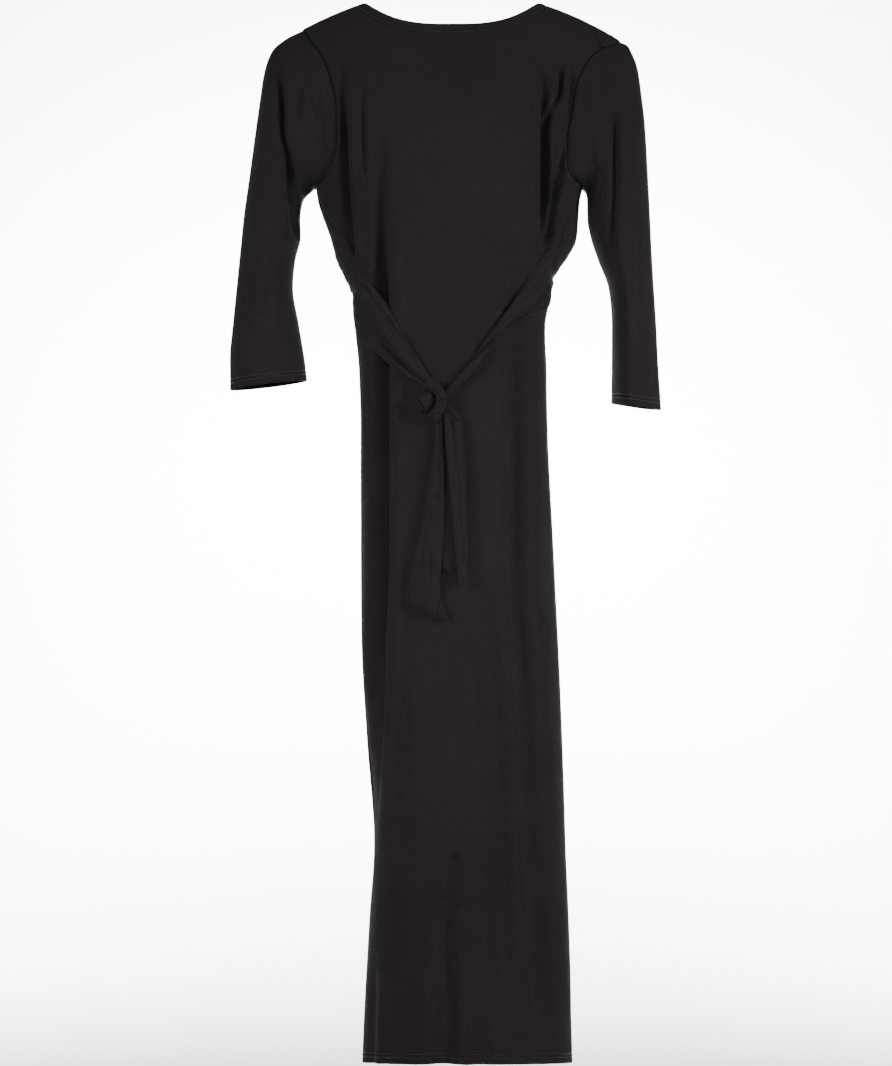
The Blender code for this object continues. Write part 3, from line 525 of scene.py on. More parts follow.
# Studio
FLOOR = -1.62
BACKDROP = 3.2
SWEEP = 1.2
SWEEP_FRONT = -4.5
SWEEP_TOP = 5.0
SWEEP_HALF = 6.0
SWEEP_STEPS = 24
PAPER_COLOUR = (0.9, 0.9, 0.9, 1)
PAPER_ROUGHNESS = 0.9
WORLD_STRENGTH = 0.12
DRESS_MIDDLE = (0, 0, -0.62)
PAPER_MIDDLE = (0, BACKDROP, -0.6)
Light = namedtuple("Light", "name place aim size power spread")
# Soft boxes: place, aim and size in metres, power in watts and spread in degrees
LIGHTS = table(
    Light,
    ("left box", (-2.7, -1.8, 0.4), DRESS_MIDDLE, (0.6, 1.0), 14.5, 75),
    ("right box", (2.7, -1.8, 0.3), DRESS_MIDDLE, (0.6, 1.0), 18.5, 75),
    ("front box", (0.1, -3.6, -0.4), DRESS_MIDDLE, (0.9, 0.9), 2.4, 32),
    ("paper left", (-2.1, 1.2, -0.6), PAPER_MIDDLE, (0.6, 2.4), 270, 80),
    ("paper right", (2.1, 1.2, -0.6), PAPER_MIDDLE, (0.6, 2.4), 270, 80),
)
CAMERA = (-0.0069, -3.03, -0.640)
LENS = 85
SENSOR = 36


def smoothstep(low, high, value):
    """Rise from 0 at low to 1 at high with level ends."""
    t = np.clip((value - low) / (high - low), 0, 1)
    return t * t * (3 - 2 * t)


def smooth(value, xs, ys):
    """Read a smooth curve through a short table, with no overshoot between its rows."""
    xs, ys = np.asarray(xs, float), np.asarray(ys, float)
    step = np.diff(xs)
    rise = np.diff(ys) / step
    product = rise[:-1] * rise[1:]
    slope = np.zeros_like(ys)
    turning = product > 0
    slope[1:-1][turning] = 2 * product[turning] / (rise[:-1] + rise[1:])[turning]
    slope[0], slope[-1] = rise[0], rise[-1]
    i = np.clip(np.searchsorted(xs, value) - 1, 0, len(step) - 1)
    t = np.clip((value - xs[i]) / step[i], 0, 1)
    start = (1 + 2 * t) * (1 - t) ** 2 * ys[i] + t * (1 - t) ** 2 * step[i] * slope[i]
    end = t * t * (3 - 2 * t) * ys[i + 1] + t * t * (t - 1) * step[i] * slope[i + 1]
    return start + end


def section(z, column):
    """Read one column of the body sections at height z."""
    rows = SECTIONS[::-1]
    return smooth(z, [row.z * MM for row in rows], [getattr(row, column) for row in rows])


def middle_and_half(z):
    """Centre and half width of the body at height z."""
    left, right = section(z, "left") * MM, section(z, "right") * MM
    return (left + right) / 2, (right - left) / 2


def ridge(x):
    """Height of the shoulder ridge at x."""
    out = np.maximum(np.abs(x) - RIDGE_FLAT_TO, 0)
    return -RIDGE_SLOPE * out - RIDGE_CURVE * out * out


def roll_from_height(x, z):
    """Angle that a panel has rolled down from the ridge, 0 on it and 90 degrees where it hangs."""
    return np.arccos(1 - np.clip((ridge(x) - z) / ROLL_HEIGHT, 0, 1))


def side_profile(t):
    """How deep the body is at a share t of its half width."""
    return (1 - np.minimum(np.abs(t), 1) ** SIDE_ROUNDNESS) ** (1 / SIDE_ROUNDNESS)


def rolled_point(x, roll, side):
    """Point of the body at x and roll; side is -1 for the back and 1 for the front."""
    z = ridge(x) - ROLL_HEIGHT * (1 - np.cos(roll))
    middle, half = middle_and_half(z)
    depth = section(z, "back" if side < 0 else "front") * MM
    y = side * depth * np.sin(roll) * side_profile((x - middle) / half)
    return np.stack([x, y, z], axis=-1)


def level_point(turn, z, side):
    """Point of the body at a turn across it; the front may pass round the side."""
    middle, half = middle_and_half(z)
    x = middle + half * np.sin(turn)
    own = section(z, "back" if side < 0 else "front") * MM
    far = section(z, "front" if side < 0 else "back") * MM
    profile = side_profile(np.sin(turn)) * np.sin(roll_from_height(x, z))
    y = np.where(np.cos(turn) >= 0, side * own * profile, -side * far * profile)
    lift = BACK_HEM_LIFT * smoothstep(HEM_LIFT_FROM, HEM, z) * np.maximum(-y / HEM_LIFT_DEPTH, 0)
    return np.stack([x, y, z + lift], axis=-1)


def back_point(x, z, off):
    """Point that stands off the smooth form of the back at x and z."""
    def surface(x_at, z_at):
        middle, half = middle_and_half(z_at)
        share = np.clip((x_at - middle) / half, -OFF_SHARE, OFF_SHARE)
        return level_point(np.arcsin(share), z_at, -1)

    across = surface(x + OFF_STEP, z) - surface(x - OFF_STEP, z)
    down = surface(x, z - OFF_STEP) - surface(x, z + OFF_STEP)
    return surface(x, z) + unit(np.cross(down, across)) * off[..., None]


def unit(vectors):
    """The same directions at length 1."""
    return vectors / np.maximum(np.linalg.norm(vectors, axis=-1, keepdims=True), 1e-12)


def grid_normals(points):
    """Unit normals of a grid whose rows run down and whose columns run across."""
    return unit(np.cross(np.gradient(points, axis=0), np.gradient(points, axis=1)))


def armhole_curve(armhole):
    """Length along an armhole, with its x, z and signed roll at each row."""
    x = np.array([row.x for row in armhole]) * MM
    z = np.array([row.z for row in armhole]) * MM
    over = np.array([row.over for row in armhole])
    roll = over * roll_from_height(x, z)
    length = np.concatenate([[0], np.cumsum(np.hypot(np.diff(x), np.diff(z) + 1e-9))])
    return length, x, z, roll


def armhole_x(armhole, z):
    """Place of the armhole's edge at height z, below the ridge."""
    rows = [row for row in armhole if row.over == 1][::-1]
    return smooth(z, [row.z * MM for row in rows], [row.x * MM for row in rows])


def neck_line(share, side, half, drop):
    """x and roll of the neckline at a share of its half width."""
    scoop = BACK_SCOOP if side < 0 else FRONT_SCOOP
    x = half * share
    z = ridge(half) - drop * (1 - np.abs(share) ** scoop)
    return x, roll_from_height(x, z)


def neck_shares(steps):
    """Shares across the neck, closer together near its two ends."""
    even = np.linspace(-1, 1, steps + 1)
    return (1 - NECK_CLOSING) * even + NECK_CLOSING * np.sin(even * np.pi / 2)


def across_shares(columns):
    """Shares across a panel, closest together where its deepest creases lie."""
    even = np.linspace(0, 1, columns + 1)
    return (even - MIDDLE_OPENING * np.sin(2 * np.pi * even) / (2 * np.pi)
            + QUARTER_CLOSING * np.sin(4 * np.pi * even) / (4 * np.pi))


def top_edge(side, u, left, right):
    """x and roll along a panel's top: shoulder seam, neckline and shoulder seam."""
    shoulder = np.linspace(0, 1, SHOULDER_COLUMNS + 1)
    drop = BACK_SEAM_DROP if side < 0 else FRONT_SEAM_DROP
    shares = neck_shares(len(u) - 1 - 2 * SHOULDER_COLUMNS)
    half = NECK_SEAM + SEAM_GAP
    neck_x, neck_roll = neck_line(shares, side, half, drop)
    left_x = left[1][0] + (-half - left[1][0]) * shoulder
    right_x = right[1][0] + (half - right[1][0]) * shoulder[::-1]
    right_roll = right[3][0] * smoothstep(RIDGE_LEFT_AT, 1, 1 - shoulder[::-1])
    x = np.concatenate([left_x[:-1], neck_x, right_x[1:]])
    roll = np.concatenate([np.zeros(SHOULDER_COLUMNS), neck_roll, right_roll[1:]])
    middle, half_body = middle_and_half(ridge(x))
    return x, roll + SHOULDER_GAP / 2 / RIDGE_DEPTH / side_profile((x - middle) / half_body)


def seam_turns(z, side, armholes):
    """Turns of a panel's two edges at height z: armholes above the underarm, seams below it."""
    if z > UNDERARM:
        middle, half = middle_and_half(z)
        return [np.arcsin((armhole_x(armhole, z) - middle) / half) for armhole in armholes]
    left, right = np.radians(section(z, "left_seam")), np.radians(section(z, "right_seam"))
    if side > 0:
        left, right = np.pi - left, np.pi - right
    gap = SEAM_GAP / 2 / section(z, "back") / MM
    return gap - left, right - gap


def panel_grid(side, u, top_rows, levels, armholes):
    """Grid of a back or front panel, from its shoulders and neckline down to the hem."""
    left, right = (armhole_curve(armhole) for armhole in armholes)

    def level_row(z):
        first, last = seam_turns(z, side, armholes)
        widen = 1 - smoothstep(TURNS_WIDE_AT, TURNS_NARROW_AT, z)
        wide = NARROW_TURN + (SIDE_TURN - NARROW_TURN) * widen
        near = HIGH_HOLD - (HIGH_HOLD - LOW_HOLD) * smoothstep(-UNDERARM, -TURNS_WIDE_AT, -z)
        turn = wide * (2 * u - 1) + (first + wide) * (1 - u) ** near + (last - wide) * u ** near
        return level_point(turn, np.full_like(u, z), side)

    level = levels[0]
    low = level_row(level)
    low_lines = low[:, 0], roll_from_height(low[:, 0], level)
    top_lines = top_edge(side, u, left, right)
    w = np.linspace(0, 1, top_rows + 1)
    edges = []
    for (length, x, z, roll), end in ((left, 0), (right, -1)):
        below = np.argmax(z)
        stop = np.interp(-level, -z[below:], length[below:])
        gap = (top_lines[1][end] - roll[0]) * (1 - w) ** SHOULDER_HOLD
        edges.append((smooth(w * stop, length, x), smooth(w * stop, length, roll) + gap))

    def patch(part):
        """Blend from the top line to the level row, held to the two armhole edges."""
        top, bottom = top_lines[part], low_lines[part]
        rows = (1 - w)[:, None] * top + w[:, None] * bottom
        off_left = edges[0][part] - rows[:, 0]
        off_right = edges[1][part] - rows[:, -1]
        near_left, near_right = (1 - u) ** PATCH_HOLD, u ** PATCH_HOLD
        return rows + off_left[:, None] * near_left + off_right[:, None] * near_right

    upper = rolled_point(patch(0), np.minimum(patch(1), np.pi / 2), side)
    upper[-1] = low
    return np.concatenate([upper, np.stack([level_row(z) for z in levels[1:]])])


def trough(x, z, crease):
    """Depth of one trough at each point, with the cloth it takes up heaped softly beside it."""
    xs, zs = (np.array(crease.path, float) * MM).T
    path = smooth(z, zs[::-1], xs[::-1])
    s = (zs[0] - z) / (zs[0] - zs[-1])
    slope = (smooth(z + MM, zs[::-1], xs[::-1]) - smooth(z - MM, zs[::-1], xs[::-1])) / (2 * MM)
    across = (x - path) / np.sqrt(1 + slope * slope)
    grown = 1 + (crease.grow - 1) * np.clip(s, 0, 1)
    own = np.where(across > 0, crease.right, crease.left) * MM * grown
    mean = (crease.left + crease.right) / 2 * MM * grown
    fade = smoothstep(0, crease.fade_top, s) * smoothstep(0, crease.fade_low, 1 - s)
    heap = HEAP * np.exp(-((np.abs(across) / mean - HEAP_AT) / HEAP_WIDTH) ** 2)
    return crease.depth * MM * fade * (np.exp(-(across / own) ** 2) - heap)


def ripple(a, b, seed, scale):
    """A slow uneven wave over a sheet, from -1 to 1, for cloth that never lies quite even."""
    draw = np.random.default_rng(seed)
    total = np.zeros_like(a)
    for _ in range(RIPPLE_WAVES):
        turn, phase = draw.uniform(0, 2 * np.pi, 2)
        pitch = scale * draw.uniform(*RIPPLE_PITCHES)
        way = a * np.cos(turn) + RIPPLE_DRAWN * b * np.sin(turn)
        total += np.sin(2 * np.pi * way / pitch + phase)
    return total / RIPPLE_WAVES


def arc_lengths(points, axis):
    """Length run along one axis of a grid."""
    step = np.linalg.norm(np.diff(points, axis=axis), axis=-1)
    pad = [(0, 0), (0, 0)]
    pad[axis] = (1, 0)
    return np.pad(np.cumsum(step, axis=axis), pad)


def panel_levels(division):
    """Levels of a panel's level rows, closer together near the underarm and over the hem."""
    share = np.linspace(0, 1, division.chest_rows + 1)
    chest = UNDERARM + (division.level - UNDERARM) * (1 - share) ** CHEST_CLOSING
    return np.concatenate([chest, np.linspace(UNDERARM, GATHER_TOP, SIDE_ROWS)[1:],
                           np.linspace(GATHER_TOP, GATHER_LOW, GATHER_ROWS)[1:],
                           np.linspace(GATHER_LOW, HEM + FINE_STRIP, SKIRT_ROWS)[1:],
                           np.linspace(HEM + FINE_STRIP, HEM, HEM_ROWS)[1:]])


def seam_wave(z, left, wave):
    """A wave down a side seam, that starts elsewhere on the left than on the right."""
    phase = np.where(left, wave.left_phase, wave.right_phase)
    return wave.height * np.sin(z / (wave.length * MM) + phase)


def gathers(z, from_edge, left):
    """Depth of the uneven gathers that run into the front from where a tie leaves its seam."""
    centre = np.where(left, LEFT_GATHER_MIDDLE, RIGHT_GATHER_MIDDLE)
    zone = np.exp(-((z - centre) / GATHER_HALF) ** 4)
    fan = (z - centre) * (1 - GATHER_FAN * np.clip(from_edge / GATHER_REACH, 0, 1)) + centre
    bend = sum(seam_wave(z, left, wave) for wave in GATHER_BENDS)
    wave = np.sin(2 * np.pi * fan / GATHER_PITCH + bend)
    reach = np.exp(-(from_edge / GATHER_REACH) ** GATHER_FADE)
    uneven = GATHER_EVEN + seam_wave(z, left, GATHER_UNEVEN)
    return GATHER_DEPTH * zone * reach * uneven * (GATHER_RAISE - wave) * GATHER_SCALE


def stitched_edge(from_edge):
    """Depth of the two grooves that the stitches of a turned edge pull into the cloth."""
    return sum(GROOVE_DEPTH * np.exp(-((from_edge - row) / GROOVE_WIDTH) ** 2)
               for row in STITCH_ROWS)


def fold_panel(points, creases, side, seed):
    """Give a panel its troughs, gathers, seams, hem and slow ripple."""
    x, z = points[..., 0], points[..., 2]
    run = arc_lengths(points, 1)
    from_edge = np.minimum(run, run[:, -1:] - run)
    top = arc_lengths(points, 0)
    hold = smoothstep(0, HOLD, from_edge) * smoothstep(0, HOLD, top)
    depth = sum(trough(x, z, crease) for crease in creases) * hold
    depth += RIPPLE * ripple(x, z, seed, RIPPLE_PITCH) * hold
    if side > 0:
        depth += gathers(z, from_edge, x < 0) * smoothstep(0, GATHER_START, from_edge)
    depth += SEAM_SINK * np.exp(-(from_edge / SEAM_REACH) ** 2)
    depth += SEAM_SINK * np.exp(-(top / SEAM_REACH) ** 2)
    depth += stitched_edge(top[-1:] - top)
    return points + side * grid_normals(points) * depth[..., None]


def turn_under(points, normals):
    """Add the rows of a turned hem below a sheet's last row; normals point out of the cloth."""
    low, out = points[-1], normals[-1]
    rows = [low - out * TURN_THICKNESS * share for share in TURN_FOLD]
    rows[0][:, 2] -= TURN_DROP
    height = np.linalg.norm(points[-1] - points[-2], axis=-1).mean()
    count = max(2, int(round(TURNED / height)))
    for back in range(1, count + 1):
        rows.append(points[-1 - back] - normals[-1 - back] * TURN_THICKNESS)
    return np.concatenate([points, np.stack(rows)])


def armhole_loop(back_edge, front_edge):
    """Closed loop of an armhole from its crest, its way out, and the turn of each point."""
    pairs = np.concatenate([back_edge, front_edge[-2:0:-1]])
    loop, within = pairs[:, 0], pairs[:, 1]
    crest = np.argmax(loop[:, 2] + CREST_LEAN * np.abs(loop[:, 0]))
    loop, within = np.roll(loop, -crest, axis=0), np.roll(within, -crest, axis=0)
    leave = unit(loop - within)
    step = np.linalg.norm(np.roll(loop, -1, axis=0) - loop, axis=1)
    run = np.concatenate([[0], np.cumsum(step)])
    under = (len(back_edge) - 1 - crest) % len(loop)
    turn = np.where(run[:-1] <= run[under], run[:-1] / run[under],
                    1 + (run[:-1] - run[under]) / (run[-1] - run[under])) * np.pi
    return loop, leave, turn, under


def ring_points(ring, turn):
    """Points round one sleeve ring; a turn of 0 is its outer point and 90 degrees its back."""
    inner = np.array([ring.in_x, 0, ring.in_z]) * MM
    outer = np.array([ring.out_x, 0, ring.out_z]) * MM
    along, deep = np.cos(turn), np.sin(turn)
    power = 2 / ring.power
    along = np.sign(along) * np.abs(along) ** power
    deep = np.sign(deep) * np.abs(deep) ** power
    points = (inner + outer) / 2 + along[:, None] * (outer - inner) / 2
    points[:, 1] -= deep * ring.depth * MM
    points[:, 0] += deep * ring.skew * MM
    return points


def smooth_rows(rows, count, fine_count):
    """Run smooth curves down a coarse grid of rows and read them finely, finest at the cuff."""
    run = arc_lengths(rows, 0).mean(axis=1)
    strip = run[-1] - FINE_STRIP
    at = np.concatenate([np.linspace(0, strip, count), np.linspace(strip, run[-1], fine_count)[1:]])
    fine = np.empty((len(at),) + rows.shape[1:])
    for column in range(rows.shape[1]):
        for axis in range(3):
            fine[:, column, axis] = smooth(at, run, rows[:, column, axis])
    return fine


def sleeve_grid(rings, creases, back_edge, front_edge, flip, seed):
    """Grid of a sleeve, from the armhole's edge to the cuff, and its outward normals."""
    loop, leave, turn, under = armhole_loop(back_edge, front_edge)
    start = Ring(loop[under, 0] / MM, loop[under, 2] / MM, loop[0, 0] / MM, loop[0, 2] / MM,
                 rings[0].depth)
    offset = loop - ring_points(start, turn)
    near_underarm = np.exp(-((turn - np.pi) / UNDERARM_TURN) ** 2)
    gap = ARMHOLE_GAP + UNDERARM_GAP * near_underarm[:, None]
    rows = [loop + leave * gap, loop + leave * (gap + SLEEVE_STRIP)]
    for number, ring in enumerate(rings, start=1):
        fade = (1 - smoothstep(0, CAP_RINGS, number)) ** (1 + UNDERARM_FADE * near_underarm)
        rows.append(ring_points(ring, turn) + offset * fade[:, None])
    rows = smooth_rows(np.stack(rows), SLEEVE_ROWS, CUFF_ROWS)
    run = arc_lengths(rows, 0)
    outward = -1 if flip else 1

    def normals(grid):
        closed = np.concatenate([grid[:, -1:], grid, grid[:, :1]], axis=1)
        return grid_normals(closed)[:, 1:-1] * outward

    y = rows[..., 1]
    depth = sum(trough(rows[..., 0], rows[..., 2], crease) for crease in creases)
    depth *= smoothstep(0, SLEEVE_SIDE_HOLD, np.abs(y)) * np.where(y < 0, 1, FRONT_SLEEVE_SHARE)
    depth += RIPPLE * ripple(rows[..., 0], rows[..., 2], seed, RIPPLE_PITCH)
    depth *= smoothstep(0, HOLD, run)
    depth += SEAM_SINK * np.exp(-(run / SEAM_REACH) ** 2)
    depth += stitched_edge(run[-1:] - run)
    rows = rows - normals(rows) * depth[..., None]
    return rows, normals(rows)


def neckband_grid():
    """Closed grid of the neckband, from its inner seam over its free edge to under the panels."""
    rows = []
    for down, _ in BAND_PROFILE:
        half = NECK_EDGE + (NECK_SEAM - NECK_EDGE) * down
        halves = []
        for side, edge, seam in ((-1, BACK_EDGE_DROP, BACK_SEAM_DROP),
                                 (1, FRONT_EDGE_DROP, FRONT_SEAM_DROP)):
            x, roll = neck_line(neck_shares(BAND_STEPS), side, half, edge + (seam - edge) * down)
            halves.append(rolled_point(x, roll, side))
        rows.append(np.concatenate([halves[0], halves[1][-2:0:-1]]))
    first, last = BAND_DOWN_ROWS
    down = unit(rows[last] - rows[first])
    points = []
    for loop, (_, off) in zip(rows, BAND_PROFILE):
        along = unit(np.roll(loop, -1, axis=0) - np.roll(loop, 1, axis=0))
        points.append(loop + unit(np.cross(down, along)) * off * MM)
    return np.stack(points)


def row_shares(rows_out):
    """Shares along a tie, with finer rows at its low end."""
    return np.concatenate([np.linspace(0, TIE_END_SHARE, rows_out),
                           np.linspace(TIE_END_SHARE, 1, TIE_END_ROWS)[1:]])


def read_table(rows, shares):
    """Read every column of a table smoothly at shares along it, in metres."""
    s = shares * (len(rows) - 1)
    return {name: smooth(s, range(len(rows)), [getattr(row, name) for row in rows])[:, None] * MM
            for name in rows[0]._fields}


def ribbon_grid(edges):
    """Grid of a tie or tail between its two long edges, crowned between them."""
    c = np.linspace(0, 1, TIE_COLUMNS)
    c = c - TIE_CLOSING * np.sin(2 * np.pi * c) / (2 * np.pi)
    read = read_table(edges, row_shares(TIE_ROWS))
    x = read["upper_x"] + (read["lower_x"] - read["upper_x"]) * c
    z = read["upper_z"] + (read["lower_z"] - read["upper_z"]) * c
    line = read["off_upper"] + (read["off_lower"] - read["off_upper"]) * c
    crown = (read["off_middle"] - (read["off_upper"] + read["off_lower"]) / 2) * 4 * c * (1 - c)
    return back_point(x, z, line + crown)


def folded_tail_grid(laps):
    """Grid of the right tail: a back leaf, a rounded fold and a front leaf."""
    read = read_table(laps, row_shares(TIE_ROWS))
    back = np.linspace(0, BACK_LEAF_TO, TAIL_LEAF_COLUMNS)
    front = np.linspace(FRONT_LEAF_FROM, 1, TAIL_LEAF_COLUMNS)
    fold = np.array(TAIL_FOLD)
    x, z = (np.hstack([read["back_" + axis] * (1 - back) + read["fold_" + axis] * back,
                       read["back_" + axis] * (1 - fold) + read["fold_" + axis] * fold,
                       read["fold_" + axis] * (1 - front) + read["leaf_" + axis] * front])
            for axis in "xz")
    middle = len(back) + len(fold) // 2
    reach = TAIL_FOLD_RISES_OVER
    round_fold = smoothstep(middle - reach, middle + reach, np.arange(x.shape[1]))
    return back_point(x, z, read["off"] + read["rise"] * round_fold)


def crease_ribbon(points, creases, outward, on_face, roll_edges, seed):
    """Give a tie or tail its creases, folded edges, sewn end and slow ripple."""
    across, along = arc_lengths(points, 1), arc_lengths(points, 0)
    waves = ripple(along * TIE_RIPPLE_DRAWN, across, seed, TIE_RIPPLE_PITCH)
    depth = RIPPLE * TIE_RIPPLE_SHARE * waves
    depth += sum(trough(points[..., 0], points[..., 2], crease) for crease in creases)
    depth *= on_face
    if roll_edges:
        from_edge = np.minimum(across, across[:, -1:] - across)
        depth += EDGE_ROLL * np.exp(-(from_edge / EDGE_ROLL_REACH) ** 2)
    from_end = along[-1:] - along
    depth += SEWN_EDGE_DEPTH * np.exp(-((from_end - SEWN_EDGE_AT) / SEWN_EDGE_WIDTH) ** 2)
    return points - grid_normals(points) * outward * depth[..., None]


def add_nodes(material):
    """Helpers that add nodes to a material: any node, and one step of arithmetic."""
    nodes, links = material.node_tree.nodes, material.node_tree.links

    def node(kind, **settings):
        new = nodes.new(kind)
        for name, value in settings.items():
            setattr(new, name, value)
        return new

    def math(operation, *values):
        new = node("ShaderNodeMath", operation=operation)
        for socket, value in zip(new.inputs, values):
            if isinstance(value, (int, float)):
                socket.default_value = value
            else:
                links.new(value, socket)
        return new.outputs[0]

    return node, math


def new_material(name, roughness, specular):
    """A material with its shader's gloss set; gives it with its shader."""
    material = bpy.data.materials.new(name)
    material.use_nodes = True
    shader = material.node_tree.nodes["Principled BSDF"]
    shader.inputs["Roughness"].default_value = roughness
    shader.inputs["Specular IOR Level"].default_value = specular
    return material, shader


def jersey_material():
    """Dark jersey: fine knit columns, a faint mottle, two small stains and a soft low sheen."""
    material, shader = new_material("jersey", JERSEY_ROUGHNESS, JERSEY_SPECULAR)
    shader.inputs["Sheen Weight"].default_value = SHEEN
    shader.inputs["Sheen Roughness"].default_value = SHEEN_ROUGHNESS
    shader.inputs["Sheen Tint"].default_value = SHEEN_TINT
    links = material.node_tree.links
    node, math = add_nodes(material)

    split = node("ShaderNodeSeparateXYZ")
    links.new(node("ShaderNodeUVMap").outputs[0], split.inputs[0])
    side = math("ABSOLUTE", math("SINE", math("MULTIPLY", split.outputs[0], np.pi / WALE)))
    course = math("MULTIPLY", split.outputs[1], 2 * np.pi / COURSE)
    slant = math("ADD", course, math("MULTIPLY", side, KNIT_SLANT))
    loops = math("MULTIPLY", math("ADD", math("SINE", slant), KNIT_RAISE), side)

    place = node("ShaderNodeTexCoord").outputs["Object"]

    def noise(scale, detail):
        new = node("ShaderNodeTexNoise")
        new.inputs["Scale"].default_value = scale
        new.inputs["Detail"].default_value = detail
        links.new(place, new.inputs["Vector"])
        return new.outputs["Fac"]

    mottle = noise(*MOTTLE)
    bump = node("ShaderNodeBump")
    bump.inputs["Strength"].default_value = KNIT_BUMP
    bump.inputs["Distance"].default_value = KNIT_HEIGHT
    knit = math("MULTIPLY", loops, KNIT_SHARE)
    links.new(math("ADD", knit, mottle), bump.inputs["Height"])
    links.new(bump.outputs[0], shader.inputs["Normal"])

    tone = math("ADD", math("MULTIPLY", mottle, MOTTLE_SHARE),
                math("MULTIPLY", noise(*CLOUDS), CLOUD_SHARE))
    through = node("ShaderNodeVectorMath", operation="MULTIPLY")
    links.new(place, through.inputs[0])
    through.inputs[1].default_value = (1, STAIN_DEPTH_SHARE, 1)
    for stain in STAINS:
        away = node("ShaderNodeVectorMath", operation="DISTANCE")
        links.new(through.outputs[0], away.inputs[0])
        away.inputs[1].default_value = (stain.x * MM, stain.y * STAIN_DEPTH_SHARE * MM,
                                        stain.z * MM)
        near = math("DIVIDE", away.outputs["Value"], stain.radius * MM)
        spot = math("SUBTRACT", STAIN_FADES_AT, near)
        spot.node.use_clamp = True
        tone = math("SUBTRACT", tone, math("MULTIPLY", spot, STAIN_DARKENS))
    colour = node("ShaderNodeValToRGB")
    for element, position, value in zip(colour.color_ramp.elements, TONE_RANGE,
                                        (DARK_JERSEY, LIGHT_JERSEY)):
        element.position = position
        element.color = value
    links.new(tone, colour.inputs["Fac"])
    links.new(colour.outputs[0], shader.inputs["Base Color"])
    return material


def thread_material():
    """Sewing thread, a little glossier than the jersey, with the twist of its plies."""
    material, shader = new_material("thread", THREAD_ROUGHNESS, THREAD_SPECULAR)
    shader.inputs["Base Color"].default_value = THREAD_COLOUR
    links = material.node_tree.links
    node, math = add_nodes(material)
    twist = node("ShaderNodeTexNoise")
    twist.inputs["Scale"].default_value = THREAD_TWIST
    links.new(node("ShaderNodeTexCoord").outputs["Object"], twist.inputs["Vector"])
    bump = node("ShaderNodeBump")
    bump.inputs["Distance"].default_value = THREAD_TWIST_HEIGHT
    height = math("MULTIPLY", twist.outputs["Fac"], THREAD_TWIST_SHARE)
    links.new(height, bump.inputs["Height"])
    links.new(bump.outputs[0], shader.inputs["Normal"])
    return material


JERSEY = jersey_material()
THREAD = thread_material()


def link(name, mesh, material):
    """Put a mesh in the scene as a piece of the dress."""
    mesh.shade_smooth()
    mesh.materials.append(material)
    piece = bpy.data.objects.new(name, mesh)
    bpy.context.scene.collection.objects.link(piece)
    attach(piece, BODY)
    return piece


def add_sheet(node, points, wall, closed=False, flip=False):
    """Loft a sheet of cloth over a grid of points, its knit laid along it, for a node."""
    columns = points.shape[1]
    if closed:
        points = np.concatenate([points, points[:, :1]], axis=1)
    index = np.arange(len(points) * columns).reshape(len(points), columns)
    if closed:
        index = np.hstack([index, index[:, :1]])
    first, second = slice(None, -1), slice(1, None)
    corners = [(first, first), (second, first), (second, second), (first, second)]
    if flip:
        corners = corners[::-1]
    quads = np.stack([index[corner] for corner in corners], axis=-1).reshape(-1, 4)
    flat = np.stack([np.broadcast_to(arc_lengths(points, 1).mean(axis=0), points.shape[:2]),
                     np.broadcast_to(arc_lengths(points, 0).mean(axis=1)[:, None],
                                     points.shape[:2])], axis=-1)
    uv = np.stack([flat[corner] for corner in corners], axis=2)
    mesh = bpy.data.meshes.new(node + "_cloth")
    mesh.from_pydata(points[:, :columns].reshape(-1, 3).tolist(), [], quads.tolist())
    mesh.uv_layers.new(name="knit").data.foreach_set("uv", uv.ravel())
    piece = link(node + "_cloth", mesh, JERSEY)
    cloth = piece.modifiers.new("cloth wall", "SOLIDIFY")
    cloth.thickness = wall
    cloth.offset = -1
    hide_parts(node)
    return piece


def add_tube(node, points, knit_size):
    """Add a closed tube of rings for a node, its ends drawn together and its knit laid round it."""
    ends = [np.repeat(points[end].mean(axis=0)[None], points.shape[1], axis=0) for end in (0, -1)]
    points = np.concatenate([ends[0][None], points, ends[1][None]])
    rings, around = points.shape[:2]
    index = np.arange(rings * around).reshape(rings, around)
    index = np.hstack([index, index[:, :1]])
    corners = (index[:-1, :-1], index[1:, :-1], index[1:, 1:], index[:-1, 1:])
    quads = np.stack(corners, axis=-1).reshape(-1, 4)
    mesh = bpy.data.meshes.new(node + "_cloth")
    mesh.from_pydata(points.reshape(-1, 3).tolist(), [], quads.tolist())
    layer = mesh.uv_layers.new(name="knit")
    ring, step = np.divmod(quads.ravel(), around)
    uv = np.stack([step / around * knit_size[0], ring / rings * knit_size[1]], axis=-1)
    layer.data.foreach_set("uv", uv.ravel())
    shape = bmesh.new()
    shape.from_mesh(mesh)
    bmesh.ops.remove_doubles(shape, verts=shape.verts, dist=MERGE_WITHIN)
    bmesh.ops.recalc_face_normals(shape, faces=shape.faces)
    shape.to_mesh(mesh)
    shape.free()
    piece = link(node + "_cloth", mesh, JERSEY)
    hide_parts(node)


